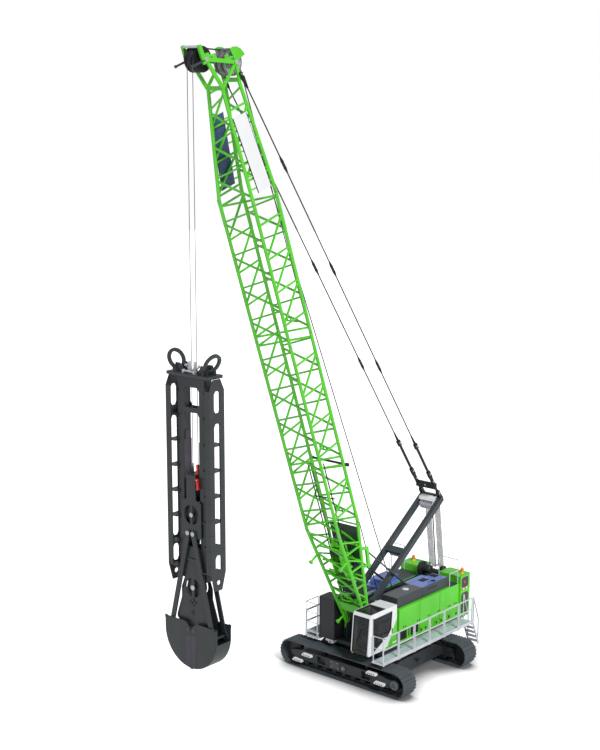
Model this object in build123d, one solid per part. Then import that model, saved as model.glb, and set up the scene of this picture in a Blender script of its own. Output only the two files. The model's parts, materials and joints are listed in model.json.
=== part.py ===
"""Crawler cable excavator with a lattice boom and a mechanical diaphragm wall grab.

Lengths are millimetres and +Z is up. The origin is on the ground, on the slewing axis.
The boom points to -Y and the cab is on the +X side. The tracks run along X, so the upper
works stand swung by a quarter turn. Each function below returns the shape of one sub-part.
"""
import os
from math import cos, hypot, pi, radians, sin

from build123d import *

# Fits and general values
SEAT_GAP = 0.3            # between pieces that rest on each other
RUN_GAP = 6.0             # between pieces that move past each other
PIN_FIT = 0.06            # radial clearance of a pin in its bore
THRUST_GAP = 0.4          # between the side faces of pieces that turn on one pin
PIN_SIDES = 12            # sides of a pin and of its bore
PLATE = 40                # thick welded plate

# Tracks
TRACK_GAUGE = 4530        # between the centre lines of the tracks
WHEEL_BASE = 5820         # sprocket axle to idler axle
PITCH_RADIUS = 500        # of the chain round sprocket and idler
GROUSER_HEIGHT = 90       # tip above the pitch line
SHOE_FACE = 48            # outer face of the shoe above the pitch line
SHOE_BACK = 22            # inner face of the shoe above the pitch line
CHAIN_DEPTH = 45          # links below the pitch line
SHOE_WIDTH = 875
CHAIN_WIDTH = 220
SHOE_COUNT = 50
AXLE_HEIGHT = PITCH_RADIUS + GROUSER_HEIGHT
WHEEL_GAP = 8             # sprocket and idler inside the chain
ROLLER_RADIUS = 105
ROLLER_COUNT = 9
ROLLER_PITCH = 530
CARRIER_RADIUS = 80
CARRIER_X = 1250
FRAME_LENGTH = 5000
FRAME_HALF_WIDTH = 350
FRAME_BOTTOM = 375
FRAME_TOP = 830
DRIVE_COVER_RADIUS = 230
IDLER_AXLE = 90
STEP_PLACES = ((-2415, 290), (-1880, 640), (1750, 785), (2180, 440))  # x, z of each step
STEP_SIZE = (480, 150, 110)

# Car body and slewing ring
CARBODY_HALF = 1150       # across the tracks
CARBODY_LENGTH = 1450     # half of it, along the tracks
CARBODY_CORNER = 400
CARBODY_BOTTOM = 430
CARBODY_TOP = 1100
CROSS_BEAM_X = 1750
CROSS_BEAM_WIDTH = 800
CROSS_BEAM_END = 780      # top of each beam at the track frame
TIE_BORE = 35             # of the tie-down lugs
TIE_Z = 760
RING_RADIUS = 1050
RING_TOP = 1270

# Upper works
DECK_BOTTOM = RING_TOP + 60
DECK_TOP = 1500
DECK_HALF = 1600
DECK_FRONT = -1900
DECK_REAR = 4500
CHEEK_TOP = 2150
CHEEK_INNER = 420         # inner face of the winch girders
HOUSE_HALF = 1650
HOUSE_FRONT = -650
HOUSE_REAR = 3900
HOUSE_TOP = 3100
HOUSE_INNER = 560
HOOD_TOP = 3560
HOOD_OUTER = 1500
HOOD_INNER = 660
HOOD_FRONT = -600
HOOD_REAR = 3200
FRONT_BOX_REAR = -1430
FRONT_BOX_FRONT = -2150
FRONT_BOX_INNER = 800
FRONT_BOX_TOP = 3380
WEIGHT_OUTER = 1720
WEIGHT_INNER = 500
WEIGHT_FRONT = 3930
WEIGHT_REAR = 4760
WEIGHT_BOTTOM = 1450
WEIGHT_SPLIT = 2730
WEIGHT_TOP = 3420

# Walkways
WALK_OUTER = 2400
WALK_TOP = 1420
WALK_FRONT = -2770
WALK_REAR = 3950
RAIL_RADIUS = 21
RAIL_TOP = 2590
RAIL_MID = 2010
RAIL_BAYS = 6
RIGHT_WALK_FRONT = -2200
LADDER_TREADS = 5
LADDER_WIDTH = 560
LADDER_RUN = 560          # of its stringers, rearwards
LADDER_BOTTOM = 200
LADDER_RAIL_END = 1430    # lower end of its hand rails

# Cab
CAB_INNER = 800
CAB_OUTER = 1740
CAB_REAR = -950
CAB_FRONT = -2830
CAB_BOTTOM = 1640
CAB_TOP = 3450
CAB_WALL = 55
PANE = 8
PANE_DEPTH = 20           # of each pane behind the outer face
DOOR_FRONT = -2700
DOOR_REAR = -1300
DOOR_THICK = 40
DOOR_BOTTOM = 1760
DOOR_TOP = 3330
# Window of the door: (Y, Z) of its corners
DOOR_WINDOW = [(-2620, 3240), (-1360, 3260), (-1430, 2490), (-1710, 2180), (-2540, 1990)]

# Boom, measured from the foot pin along the boom axis
BOOM_ANGLE = 70.07        # above level
FOOT_PIN_Y = -1412
FOOT_PIN_Z = 2064
FOOT_END = 5500
SECTION_ENDS = (8500, 14500, 20500)
HEAD_END = 24815
CHORD_HALF_WIDTH = 885
CHORD_HALF_DEPTH = 650
CHORD_RADIUS = 70
LACING_RADIUS = 42
FOOT_HALF_WIDTH = 620
FOOT_CHORD_START = 340
SHEET_LIFT = 4.0          # back sheet above the flats of the lacing
FOOT_RUNGS = (5200, 4250, 3300, 2350, 1500)
TAPER_CLEAR = 15
FOOT_EYE_WIDTH = 80
FOOT_EYE_RADIUS = 160
FOOT_PIN_RADIUS = 60
HEAD_HALF_WIDTH = 360
HEAD_FRONT = -213
HEAD_BACK = 701
SIGN_SPAN = (20800, 23680)  # the sign boards, along the boom
LACING_INSET = 200        # first lacing node from a section's end
NODE_GAP = 55             # from a node to each lacing tube that meets there
FORK_REACH = 55
FORK_PLATE = 26
EYE_PLATE = 44

# Boom head: (along the boom, across it) for each shaft
FRONT_SHAFT = (26064, -696)
REAR_SHAFT = (25471, 737)
SIDE_FRAME_X = 400
SIDE_FRAME_THICK = 60
SHAFT_RADIUS = 70
HEAD_LUG_SHARES = (0.3, 0.72)
GUARD_TURNS = (-12, 8, 28, 48, 68, 80)  # degrees from the boom axis, towards the back
HEAD_LUG_BORE = 35
FRONT_SHEAVE_RADIUS = 470
REAR_SHEAVE_RADIUS = 500
SHEAVE_SET_HALF = 235
SHEAVE_HUB = 120
ROPE_BAR_REACH = 480      # from the front shaft up to the rope bar
GUARD_RADIUS = 560        # of the rope guard round the rear shaft
ROPE_RADIUS = 14
ROPE_FLAT = 12.13         # from a rope's middle to its front and back flats
ROPE_X = 140
ROPE_PITCH_RADIUS = 400

# Gantry and pendants (Y, Z)
GANTRY_FOOT = (-1050, 3350)
GANTRY_TOP = (3970, 6950)
GANTRY_HALF = 520
GANTRY_PIN = 55
BRACE_SHARE = 0.455       # of the way up the legs, for the beam between them
BRACE_DEPTH = 320
BRACE_THICK = 170
LEG_WIDTH = 190
LEG_DEPTH = 250
GANTRY_EYE = (3740, 7230)
PENDANT_HEAD = (-9200, 25840)
PENDANT_X = 470
PENDANT_RADIUS = 18
EYE_HOLE = 98
EYE_RING = 140
EYE_PIN = 30
CONNECTOR_SHARES = (0.18, 0.41, 0.65, 0.93)

# Winch drums: (Y, Z, flange radius)
HOIST_DRUMS = ((250, 2560, 400), (1250, 2560, 400))
LUFF_DRUM = (3050, 2650, 330)
DRUM_HALF = 330
DRUM_FLANGE = 30
DRUM_SHAFT = 60

# Grab, hanging on the rope line
GRAB_Y = -11350
GRAB_ROPE_END = 11500
GRAB_TOP = 14980
GRAB_HEAD_PLATE = 120
GRAB_HALF_WIDTH = 1150
GRAB_HALF_DEPTH = 390
SIDE_FRAME_TOP = 14850
SIDE_FRAME_BOTTOM = 6750
COLUMN_WIDTH = 260
COLUMN_PLATE = 30
COLUMN_RUNGS = 7
COLUMN_RUNG_Z = 7400
COLUMN_RUNG_PITCH = 985
COLUMN_WINDOWS = ((7480, 8140), (8480, 13200), (13600, 14420))  # low and high Z of each
COLUMN_HOLE_Z = 7070
POST_INNER = 420
POST_OUTER = 700
POST_HALF_DEPTH = 200
POST_FOOT = 7000
BODY_HALF_DEPTH = 240
BRIDGE_Z = 13585
TOP_BRIDGE_Z = 14450      # lower edge of the plate under the head
BODY_TOP = 8290
LOOP_OUTER = 420
LOOP_INNER = 290
LOOP_THICK = 90
LOOP_LEAN = 25
LOOP_X = 930
LOOP_Z = 15400
SHELL_HALF = 1385
SHELL_TOP = 5300
SHELL_ARC_Z = 4850
SHELL_BACK_TOP = 4700      # the back is open above this, where the arms pass
SHELL_PLATE = 40
SHELL_PIVOT = (150, 5000)
SHELL_PIN_RADIUS = 50
ARM_TOP = (137, 8840)
ARM_FOOT = (1120, 4870)
ARM_INNER = 285
ARM_OUTER = 345
ARM_HALF = 105
ARM_EYE = 165             # lower eye, with play for the shell's own swing
ARM_EYE_HOLE = 122
CARRIAGE_TOP = 11100
CARRIAGE_BOTTOM = 8620
CARRIAGE_PLATE_HALF = 520
CARRIAGE_DEPTH = 274
CARRIAGE_SHEAVE_Z = 9550
CARRIAGE_SHEAVE_RADIUS = 400
CARRIAGE_WAIST = 8900     # its plates reach their full width above this
CARRIAGE_SHOULDER = 10060  # and narrow again above this
CARRIAGE_NECK = 240
BODY_SHEAVE_Z = 6660
BODY_SHEAVE_RADIUS = 400


def block(x, y, z):
    """A box between two values on each axis."""
    size = (x[1] - x[0], y[1] - y[0], z[1] - z[0])
    centre = ((x[0] + x[1]) / 2, (y[0] + y[1]) / 2, (z[0] + z[1]) / 2)
    return Pos(*centre) * Box(*size)


def bar(start, end, radius, sides=0):
    """A straight bar between two points, round or with so many sides."""
    start = Vector(*start)
    run = Vector(*end) - start
    section = RegularPolygon(radius, sides) if sides else Circle(radius)
    return extrude(Plane(origin=start, z_dir=run) * section, run.length)


def box_beam(start, end, width, depth):
    """A rectangular beam in a plane of constant X, its width along X."""
    start = Vector(*start)
    run = Vector(*end) - start
    plane = Plane(origin=start, x_dir=(1, 0, 0), z_dir=run)
    return extrude(plane * Rectangle(width, depth), run.length)


def disc(x, centre, radius, sides=0):
    """A disc between two X values, centred at (Y, Z)."""
    return bar((x[0], *centre), (x[1], *centre), radius, sides)


def cross_disc(y, centre, radius, sides=0):
    """A disc between two Y values, centred at (X, Z)."""
    return bar((centre[0], y[0], centre[1]), (centre[0], y[1], centre[1]), radius, sides)


def side_plate(outline, x):
    """A plate of constant X from a (Y, Z) outline."""
    face = Plane.YZ.offset(x[0]) * Polygon(*outline, align=None)
    return extrude(face, x[1] - x[0], dir=(1, 0, 0))


def front_plate(outline, y):
    """A plate of constant Y from an (X, Z) outline."""
    plane = Plane(origin=(0, y[1], 0), x_dir=(1, 0, 0), z_dir=(0, -1, 0))
    return extrude(plane * Polygon(*outline, align=None), y[1] - y[0], dir=(0, -1, 0))


def flat_plate(outline, z):
    """A level plate from an (X, Y) outline."""
    face = Plane.XY.offset(z[0]) * Polygon(*outline, align=None)
    return extrude(face, z[1] - z[0], dir=(0, 0, 1))


def joined(pieces):
    """All pieces as one shape."""
    return Part() + list(pieces)


def mirrored(shape):
    """The shape and its mirror image on the other side of X = 0."""
    return [shape, mirror(shape, Plane.YZ)]


def bore_corner(radius):
    """Corner radius of a flat-sided bore that a pin of this radius turns in."""
    return (radius + PIN_FIT) / cos(pi / PIN_SIDES)


def ring_plate(plane, outer, inner, thick, sides=24):
    """A flat ring, centred on the plane."""
    ring = plane * (RegularPolygon(outer, sides) - RegularPolygon(inner, sides))
    return extrude(ring, thick / 2, both=True)


# Undercarriage

def loop_point(distance, offset):
    """A point (X, Z) on the track's path at a distance from the front of its ground run."""
    half = WHEEL_BASE / 2
    turn = pi * PITCH_RADIUS
    radius = PITCH_RADIUS + offset
    distance = distance % (2 * (WHEEL_BASE + turn))
    if distance < WHEEL_BASE:
        return (-half + distance, AXLE_HEIGHT - radius)
    distance -= WHEEL_BASE
    if distance < turn:
        angle = -pi / 2 + distance / PITCH_RADIUS
        return (half + radius * cos(angle), AXLE_HEIGHT + radius * sin(angle))
    distance -= turn
    if distance < WHEEL_BASE:
        return (half - distance, AXLE_HEIGHT + radius)
    angle = pi / 2 + (distance - WHEEL_BASE) / PITCH_RADIUS
    return (-half + radius * cos(angle), AXLE_HEIGHT + radius * sin(angle))


def stadium(radius):
    """The closed face of a track path at a radius about both axles."""
    height = Rectangle(WHEEL_BASE, 2 * radius)
    ends = [Pos(side * WHEEL_BASE / 2, 0) * Circle(radius) for side in (-1, 1)]
    return height + ends


def track(side):
    """A track: shoes with two grousers each, on a narrower chain."""
    pitch = 2 * (WHEEL_BASE + pi * PITCH_RADIUS) / SHOE_COUNT
    # Share of the pitch, height above the pitch line
    shoe = (
        (0.06, SHOE_FACE), (0.16, GROUSER_HEIGHT), (0.26, SHOE_FACE),
        (0.62, SHOE_FACE), (0.72, GROUSER_HEIGHT), (0.82, SHOE_FACE),
    )
    outline = [
        loop_point((index + share) * pitch, height)
        for index in range(SHOE_COUNT)
        for share, height in shoe
    ]
    centre = side * TRACK_GAUGE / 2
    plane = Plane(origin=(0, centre, AXLE_HEIGHT), x_dir=(1, 0, 0), z_dir=(0, -1, 0))
    shoes = front_plate(outline, (centre - SHOE_WIDTH / 2, centre + SHOE_WIDTH / 2))
    shoes -= extrude(plane * stadium(PITCH_RADIUS + SHOE_BACK), SHOE_WIDTH, both=True)
    links = stadium(PITCH_RADIUS + (SHOE_BACK + SHOE_FACE) / 2) - stadium(PITCH_RADIUS - CHAIN_DEPTH)
    return shoes + extrude(plane * links, CHAIN_WIDTH / 2, both=True)


def wheel_radius():
    """Outer radius of sprocket and idler, just inside the chain."""
    return PITCH_RADIUS - CHAIN_DEPTH - WHEEL_GAP


def drive_sprockets():
    """Toothed drive wheels with the round covers of their final drives."""
    solids = []
    for side in (-1, 1):
        centre = side * TRACK_GAUGE / 2
        place = (WHEEL_BASE / 2, AXLE_HEIGHT)
        wheel = cross_disc((centre - 60, centre + 60), place, wheel_radius(), 22)
        outer = sorted((centre, centre + side * (FRAME_HALF_WIDTH + 30)))
        hub = cross_disc(outer, place, DRIVE_COVER_RADIUS, 24)
        solids.append(wheel + hub)
    return joined(solids)


def idlers():
    """Plain wheels at the other end of the tracks, with their axles."""
    solids = []
    for side in (-1, 1):
        centre = side * TRACK_GAUGE / 2
        place = (-WHEEL_BASE / 2, AXLE_HEIGHT)
        wheel = cross_disc((centre - 80, centre + 80), place, wheel_radius(), 24)
        axle = cross_disc((centre - 240, centre + 240), place, IDLER_AXLE, 12)
        solids.append(wheel + axle)
    return joined(solids)


def track_rollers():
    """Lower rollers on the chain and upper carrier rollers, with their pins."""
    solids = []
    low = AXLE_HEIGHT - PITCH_RADIUS + CHAIN_DEPTH + SEAT_GAP
    high = AXLE_HEIGHT + PITCH_RADIUS - CHAIN_DEPTH - SEAT_GAP
    for side in (-1, 1):
        centre = side * TRACK_GAUGE / 2
        for index in range(ROLLER_COUNT):
            x = (index - (ROLLER_COUNT - 1) / 2) * ROLLER_PITCH
            place = (x, low + ROLLER_RADIUS)
            solids.append(cross_disc((centre - 190, centre + 190), place, ROLLER_RADIUS, 8))
        for x in (-CARRIER_X, CARRIER_X):
            place = (x, high - CARRIER_RADIUS)
            solids.append(cross_disc((centre - 120, centre + 120), place, CARRIER_RADIUS, 8))
    return joined(solids)


def track_frame(side):
    """The box frame of one track, with roller guards, pockets and a centre boss."""
    centre = side * TRACK_GAUGE / 2
    half = FRAME_LENGTH / 2
    nose = 330
    outline = [
        (-half - nose, FRAME_BOTTOM + 120), (-half, FRAME_BOTTOM), (half, FRAME_BOTTOM),
        (WHEEL_BASE / 2, FRAME_BOTTOM + 60), (WHEEL_BASE / 2, FRAME_TOP - 90),
        (half - 100, FRAME_TOP - 60), (half - 300, FRAME_TOP), (-half + 300, FRAME_TOP),
        (-half - nose, FRAME_TOP - 120),
    ]
    frame = front_plate(outline, (centre - FRAME_HALF_WIDTH, centre + FRAME_HALF_WIDTH))
    rim = wheel_radius() + 30
    for x, depth in ((WHEEL_BASE / 2, 75), (-WHEEL_BASE / 2, 95)):
        gap = cross_disc((centre - depth, centre + depth), (x, AXLE_HEIGHT), rim, 24)
        frame -= gap
    hub_room = cross_disc(
        (centre - FRAME_HALF_WIDTH - 10, centre + FRAME_HALF_WIDTH + 10),
        (WHEEL_BASE / 2, AXLE_HEIGHT), DRIVE_COVER_RADIUS + SEAT_GAP, 24)
    frame -= hub_room
    axle_room = cross_disc(
        (centre - 245, centre + 245), (-WHEEL_BASE / 2, AXLE_HEIGHT), IDLER_AXLE + SEAT_GAP, 12)
    frame -= axle_room
    outer = centre + side * FRAME_HALF_WIDTH
    for x in (-1150, 1350):
        pocket = sorted((outer - side * 130, outer + side * 10))
        frame -= block((x - 230, x + 230), pocket, (FRAME_BOTTOM + 70, FRAME_TOP - 70))
    boss = sorted((outer - side * 5, outer + side * 25))
    frame += cross_disc(boss, (120, 590), 130, 16)
    for x in (-CARRIER_X, CARRIER_X):
        top = AXLE_HEIGHT + PITCH_RADIUS - CHAIN_DEPTH - SEAT_GAP - CARRIER_RADIUS
        for cheek in (-1, 1):
            inner = centre + cheek * (120 + SEAT_GAP)
            span = sorted((inner, inner + cheek * 40))
            frame += block((x - 60, x + 60), span, (FRAME_TOP - 40, top + 40))
    return frame


def grip_steps():
    """White grip steps on brackets along the outside of each track frame."""
    solids = []
    length, depth, height = STEP_SIZE
    for side in (-1, 1):
        outer = side * (TRACK_GAUGE / 2 + FRAME_HALF_WIDTH + SEAT_GAP)
        for x, z in STEP_PLACES:
            span = sorted((outer, outer + side * depth))
            tread = block((x - length / 2, x + length / 2), span, (z, z + height))
            solids.append(tread)
    return joined(solids)


def carbody():
    """The welded centre of the undercarriage with its two cross beams."""
    corner = CARBODY_CORNER
    edge, end = CARBODY_HALF, CARBODY_LENGTH
    outline = [
        (-end, -edge + corner), (-end + corner, -edge), (end - corner, -edge),
        (end, -edge + corner), (end, edge - corner), (end - corner, edge),
        (-end + corner, edge), (-end, edge - corner),
    ]
    body = flat_plate(outline, (CARBODY_BOTTOM, CARBODY_TOP))
    reach = TRACK_GAUGE / 2 - FRAME_HALF_WIDTH - SEAT_GAP
    for x in (-CROSS_BEAM_X, CROSS_BEAM_X):
        half = CROSS_BEAM_WIDTH / 2
        outline = [
            (-reach, CARBODY_BOTTOM - 20), (reach, CARBODY_BOTTOM - 20), (reach, CROSS_BEAM_END),
            (edge, CARBODY_TOP - 60), (-edge, CARBODY_TOP - 60), (-reach, CROSS_BEAM_END),
        ]
        body += side_plate(outline, (x - half, x + half))
    for side in (-1, 1):
        beam = CROSS_BEAM_X + CROSS_BEAM_WIDTH / 2
        lug = sorted((side * (beam - 20), side * (beam + 170)))
        body += block(lug, (-100, 100), (TIE_Z - 30, TIE_Z + 30))
        place = (side * (beam + 90), 0)
        body -= bar((*place, TIE_Z - 40), (*place, TIE_Z + 40), TIE_BORE)
    return body


def slewing_ring():
    """The toothed ring that the upper works turn on."""
    return Pos(0, 0, (CARBODY_TOP + RING_TOP) / 2) * Cylinder(
        RING_RADIUS, RING_TOP - CARBODY_TOP - 2 * SEAT_GAP)


# Boom

def boom_frame():
    """The boom's own axes: X across the machine, Y to its back face, Z along it."""
    angle = radians(BOOM_ANGLE)
    return Plane(
        origin=(0, FOOT_PIN_Y, FOOT_PIN_Z),
        x_dir=(1, 0, 0), z_dir=(0, -cos(angle), sin(angle)))


def on_boom(shape):
    """A shape built in the boom's axes, put in its place on the machine."""
    return boom_frame().location * shape


def boom_place(point):
    """The (across, along) boom coordinates of a (Y, Z) point."""
    angle = radians(BOOM_ANGLE)
    dy, dz = point[0] - FOOT_PIN_Y, point[1] - FOOT_PIN_Z
    return (dy * sin(angle) + dz * cos(angle), dz * sin(angle) - dy * cos(angle))


def share(value, start, end):
    """How far a value lies between two others, from 0 to 1."""
    return (value - start) / (end - start)


def chord_point(corner, along):
    """A point on a chord's centre line; corners are A front right, B back right, C, D left."""
    width, front, back = CHORD_HALF_WIDTH, -CHORD_HALF_DEPTH, CHORD_HALF_DEPTH
    if along < FOOT_END:
        part = share(along, 0, FOOT_END)
        width = FOOT_HALF_WIDTH + part * (CHORD_HALF_WIDTH - FOOT_HALF_WIDTH)
        front, back = -part * CHORD_HALF_DEPTH, part * CHORD_HALF_DEPTH
    if along > SECTION_ENDS[-1]:
        part = share(along, SECTION_ENDS[-1], HEAD_END)
        width += part * (HEAD_HALF_WIDTH - CHORD_HALF_WIDTH)
        front += part * (HEAD_FRONT + CHORD_HALF_DEPTH)
        back += part * (HEAD_BACK - CHORD_HALF_DEPTH)
    side = 1 if corner in "CD" else -1
    return (side * width, front if corner in "AC" else back, along)


def lacing(first, along_first, second, along_second, radius=LACING_RADIUS):
    """A lacing tube from one chord to another."""
    start = Vector(*chord_point(first, along_first))
    run = Vector(*chord_point(second, along_second)) - start
    level = (0, 1, 0) if abs(run.X) > abs(run.Y) else (1, 0, 0)
    plane = Plane(origin=start, x_dir=run.cross(Vector(*level)).cross(run), z_dir=run)
    return extrude(plane * Rectangle(1.6 * radius, 1.6 * radius), run.length, dir=run.normalized())


def chord(corner, start, end):
    """One chord tube between two places along the boom, with flats towards its neighbours."""
    first = Vector(*chord_point(corner, start))
    run = Vector(*chord_point(corner, end)) - first
    plane = Plane(origin=first, x_dir=(1, 0, 0), z_dir=run)
    section = RegularPolygon(CHORD_RADIUS, 8, major_radius=False, rotation=22.5)
    return extrude(plane * section, run.length, dir=run.normalized())


def section_lacing(start, end, bays):
    """Lacing of all four faces, each face half a bay out of step with its neighbours."""
    first = start + LACING_INSET
    pitch = (end - start - 2 * LACING_INSET) / bays
    gap = NODE_GAP
    tubes = []
    for bay in range(bays):
        low, middle, high = (first + (bay + part) * pitch for part in (0, 0.5, 1))
        tubes += [
            lacing("C", low + gap, "A", middle - gap), lacing("A", middle + gap, "C", high - gap),
            lacing("D", low + gap, "B", middle - gap), lacing("B", middle + gap, "D", high - gap),
            lacing("C", middle, "D", middle), lacing("A", low, "B", low),
            lacing("A", low + 1.4 * gap, "B", high - 1.4 * gap),
        ]
        if bay < bays - 1:
            tubes.append(lacing("C", middle + 1.4 * gap, "D", middle + pitch - 1.4 * gap))
    tubes.append(lacing("A", first + bays * pitch, "B", first + bays * pitch))
    return tubes


def eye_end(corner, along, extra=0):
    """The single plate lug at a chord's upper end."""
    x, across, _ = chord_point(corner, along)
    return block(
        (x - EYE_PLATE / 2, x + EYE_PLATE / 2), (across - 55, across + 55),
        (along - FORK_REACH - 10 - extra, along + FORK_REACH))


def fork_end(corner, along, extra=0):
    """The double plate lug at a chord's lower end."""
    x, across, _ = chord_point(corner, along)
    plates = []
    for side in (-1, 1):
        inner = x + side * (EYE_PLATE / 2 + SEAT_GAP)
        span = sorted((inner, inner + side * FORK_PLATE))
        plates.append(block(
            span, (across - 55, across + 55),
            (along - FORK_REACH, along + FORK_REACH + 10 + extra)))
    return plates


def boom_section(start, end, bays):
    """A straight boom section: four chords, lacing and pinned ends."""
    gap = FORK_REACH + SEAT_GAP
    pieces = []
    for corner in "ABCD":
        pieces.append(chord(corner, start + gap, end - gap))
        pieces.append(eye_end(corner, end))
        pieces += fork_end(corner, start)
    pieces += section_lacing(start, end, bays)
    for along in (start + LACING_INSET, end - LACING_INSET):
        pieces.append(lacing("A", along, "D", along))
    return on_boom(joined(pieces))


def boom_foot():
    """The tapering foot section with its two pin eyes."""
    gap = FORK_REACH + SEAT_GAP
    pieces = []
    for corner in "ABCD":
        pieces.append(chord(corner, FOOT_CHORD_START, FOOT_END - gap - TAPER_CLEAR))
        pieces.append(eye_end(corner, FOOT_END, TAPER_CLEAR))
    for upper, lower in zip(FOOT_RUNGS, FOOT_RUNGS[1:]):
        for front, back in ("AB", "CD"):
            pieces.append(lacing(front, lower + 170, back, lower + 60))
            pieces.append(lacing(front, upper - 60, back, lower + 230))
        pieces.append(lacing("A", upper - 60, "C", lower + 60))
        pieces.append(lacing("B", upper - 60, "D", lower + 60))
    for front, back in ("AC", "BD"):
        for along in (5300, 1400):
            pieces.append(lacing(front, along, back, along, 32))
    for side in (-1, 1):
        width = FOOT_HALF_WIDTH
        pieces.append(disc(
            (side * width - FOOT_EYE_WIDTH / 2, side * width + FOOT_EYE_WIDTH / 2),
            (0, 0), FOOT_EYE_RADIUS, 16))
        upper_x = chord_point("D", 1400)[0]
        web = Plane(
            origin=(side * width, 0, 0), x_dir=(0, 1, 0),
            z_dir=(1, 0, -side * (upper_x - width) / 1400))
        outline = [(-40, 300), (40, 300), (165, 1400), (-165, 1400)]
        pieces.append(extrude(web * Polygon(*outline, align=None), 12, both=True))
        neck = [(-90, 0), (90, 0), (90, 620), (-90, 620)]
        half = FOOT_EYE_WIDTH / 2
        pieces.append(side_plate(neck, (side * width - half, side * width + half)))
    foot = joined(pieces)
    foot -= disc((-1000, 1000), (0, 0), bore_corner(FOOT_PIN_RADIUS), PIN_SIDES)
    return on_boom(foot)


def boom_back_sheet():
    """The dark sheet on the back face of the foot section."""
    low, high = 1700, 5150
    points = []
    for corner, along in (("B", low), ("D", low), ("D", high), ("B", high)):
        x = chord_point(corner, along)[0]
        inset = CHORD_RADIUS + LACING_RADIUS
        points.append((x - (inset if x > 0 else -inset), along))
    slope = CHORD_HALF_DEPTH / FOOT_END
    run = hypot(1, slope)
    base = chord_point("D", low)[1] + (0.8 * LACING_RADIUS + SHEET_LIFT) * run
    plane = Plane(origin=(0, base, low), x_dir=(1, 0, 0), z_dir=(0, 1 / run, -slope / run))
    outline = [(x, -(along - low) * run) for x, along in points]
    return on_boom(extrude(plane * Polygon(*outline, align=None), 6, dir=plane.z_dir))


def boom_head():
    """The tapering top section with the side frames that carry both sheave shafts."""
    start = SECTION_ENDS[-1]
    gap = FORK_REACH + SEAT_GAP
    pieces = []
    for corner in "ABCD":
        pieces.append(chord(corner, start + gap + TAPER_CLEAR, HEAD_END + 40))
        pieces += fork_end(corner, start, TAPER_CLEAR)
    pieces += section_lacing(start, HEAD_END, 3)
    front_end = (HEAD_FRONT, HEAD_END)
    back_end = (HEAD_BACK, HEAD_END)
    front_shaft = (FRONT_SHAFT[1], FRONT_SHAFT[0])
    rear_shaft = (REAR_SHAFT[1], REAR_SHAFT[0])
    # Start, end, depth of each side frame member
    members = (
        (front_end, front_shaft, 150), (front_end, rear_shaft, 110),
        (back_end, rear_shaft, 130), (front_shaft, rear_shaft, 150),
    )
    for side in (-1, 1):
        x = side * SIDE_FRAME_X
        for first, second, depth in members:
            pieces.append(box_beam((x, *first), (x, *second), SIDE_FRAME_THICK, depth))
        span = sorted((x - side * SIDE_FRAME_THICK / 2, x + side * SIDE_FRAME_THICK))
        for place in (front_shaft, rear_shaft):
            pieces.append(disc(span, place, 120, 12))
        for part in HEAD_LUG_SHARES:
            lug_y = front_shaft[0] + part * (rear_shaft[0] - front_shaft[0])
            lug_z = front_shaft[1] + part * (rear_shaft[1] - front_shaft[1])
            outline = [
                (lug_y - 120, lug_z + 30), (lug_y + 120, lug_z + 30),
                (lug_y + 75, lug_z + 230), (lug_y - 75, lug_z + 230)]
            lug = side_plate(outline, (x - 20, x + 20))
            lug -= disc((x - 25, x + 25), (lug_y, lug_z + 155), HEAD_LUG_BORE)
            pieces.append(lug)
        stay_pin = boom_place(PENDANT_HEAD)
        collar = sorted((side * 375, side * (PENDANT_X - 25 - SEAT_GAP)))
        pieces.append(disc(collar, stay_pin, 100, 10))
        pin = sorted((side * 400, side * (PENDANT_X + 40)))
        pieces.append(disc(pin, stay_pin, EYE_PIN, PIN_SIDES))
        cheek = [
            (front_shaft[0] - 190, front_shaft[1] - 150), (front_shaft[0] + 130, front_shaft[1] - 130),
            (front_shaft[0] + 200, front_shaft[1] + 60), (front_shaft[0] + 160, front_shaft[1] + 190),
            (front_shaft[0] - 40, front_shaft[1] + 210),
            (front_shaft[0] - 90, front_shaft[1] + ROPE_BAR_REACH + 80),
            (front_shaft[0] - 230, front_shaft[1] + ROPE_BAR_REACH + 80),
            (front_shaft[0] - 230, front_shaft[1] + 150)]
        pieces.append(side_plate(cheek, span))
        guard = [rear_shaft]
        for turn in GUARD_TURNS:
            angle = radians(turn)
            guard.append((
                rear_shaft[0] + GUARD_RADIUS * sin(angle), rear_shaft[1] + GUARD_RADIUS * cos(angle)))
        pieces.append(side_plate(guard, sorted((side * (SIDE_FRAME_X - 20), side * SIDE_FRAME_X))))
    for place in (front_shaft, rear_shaft):
        pieces.append(disc((-SIDE_FRAME_X, SIDE_FRAME_X), place, SHAFT_RADIUS, PIN_SIDES))
    bar_y, bar_z = front_shaft[0] - 160, front_shaft[1] + ROPE_BAR_REACH
    across = (-SIDE_FRAME_X, SIDE_FRAME_X)
    pieces.append(block(across, (bar_y - 50, bar_y + 50), (bar_z + 20, bar_z + 60)))
    for y, z in (front_end, back_end):
        pieces.append(block(across, (y - 75, y + 75), (z - 60, z + 60)))
    return on_boom(joined(pieces))


def sheave_set(place, radius, half_width):
    """Grooved rope sheaves on one shaft, as one turned piece with a bore."""
    bore = SHAFT_RADIUS + PIN_FIT
    bottom = ROPE_PITCH_RADIUS - ROPE_FLAT - 2 * THRUST_GAP
    groove = ROPE_RADIUS + 6
    flare = groove + 0.45 * (radius - bottom)
    hub = SIDE_FRAME_X - SIDE_FRAME_THICK / 2 - THRUST_GAP
    outline = [(-hub, bore), (-hub, SHEAVE_HUB), (-half_width, SHEAVE_HUB), (-half_width, radius)]
    for x in (-ROPE_X, ROPE_X):
        outline += [
            (x - flare, radius), (x - groove, bottom), (x + groove, bottom), (x + flare, radius)]
    outline += [(half_width, radius), (half_width, SHEAVE_HUB), (hub, SHEAVE_HUB), (hub, bore)]
    face = Plane.XY * Polygon(*outline, align=None)
    turned = revolve(face, Axis.X)
    return on_boom(Pos(0, place[1], place[0]) * turned)


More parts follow.
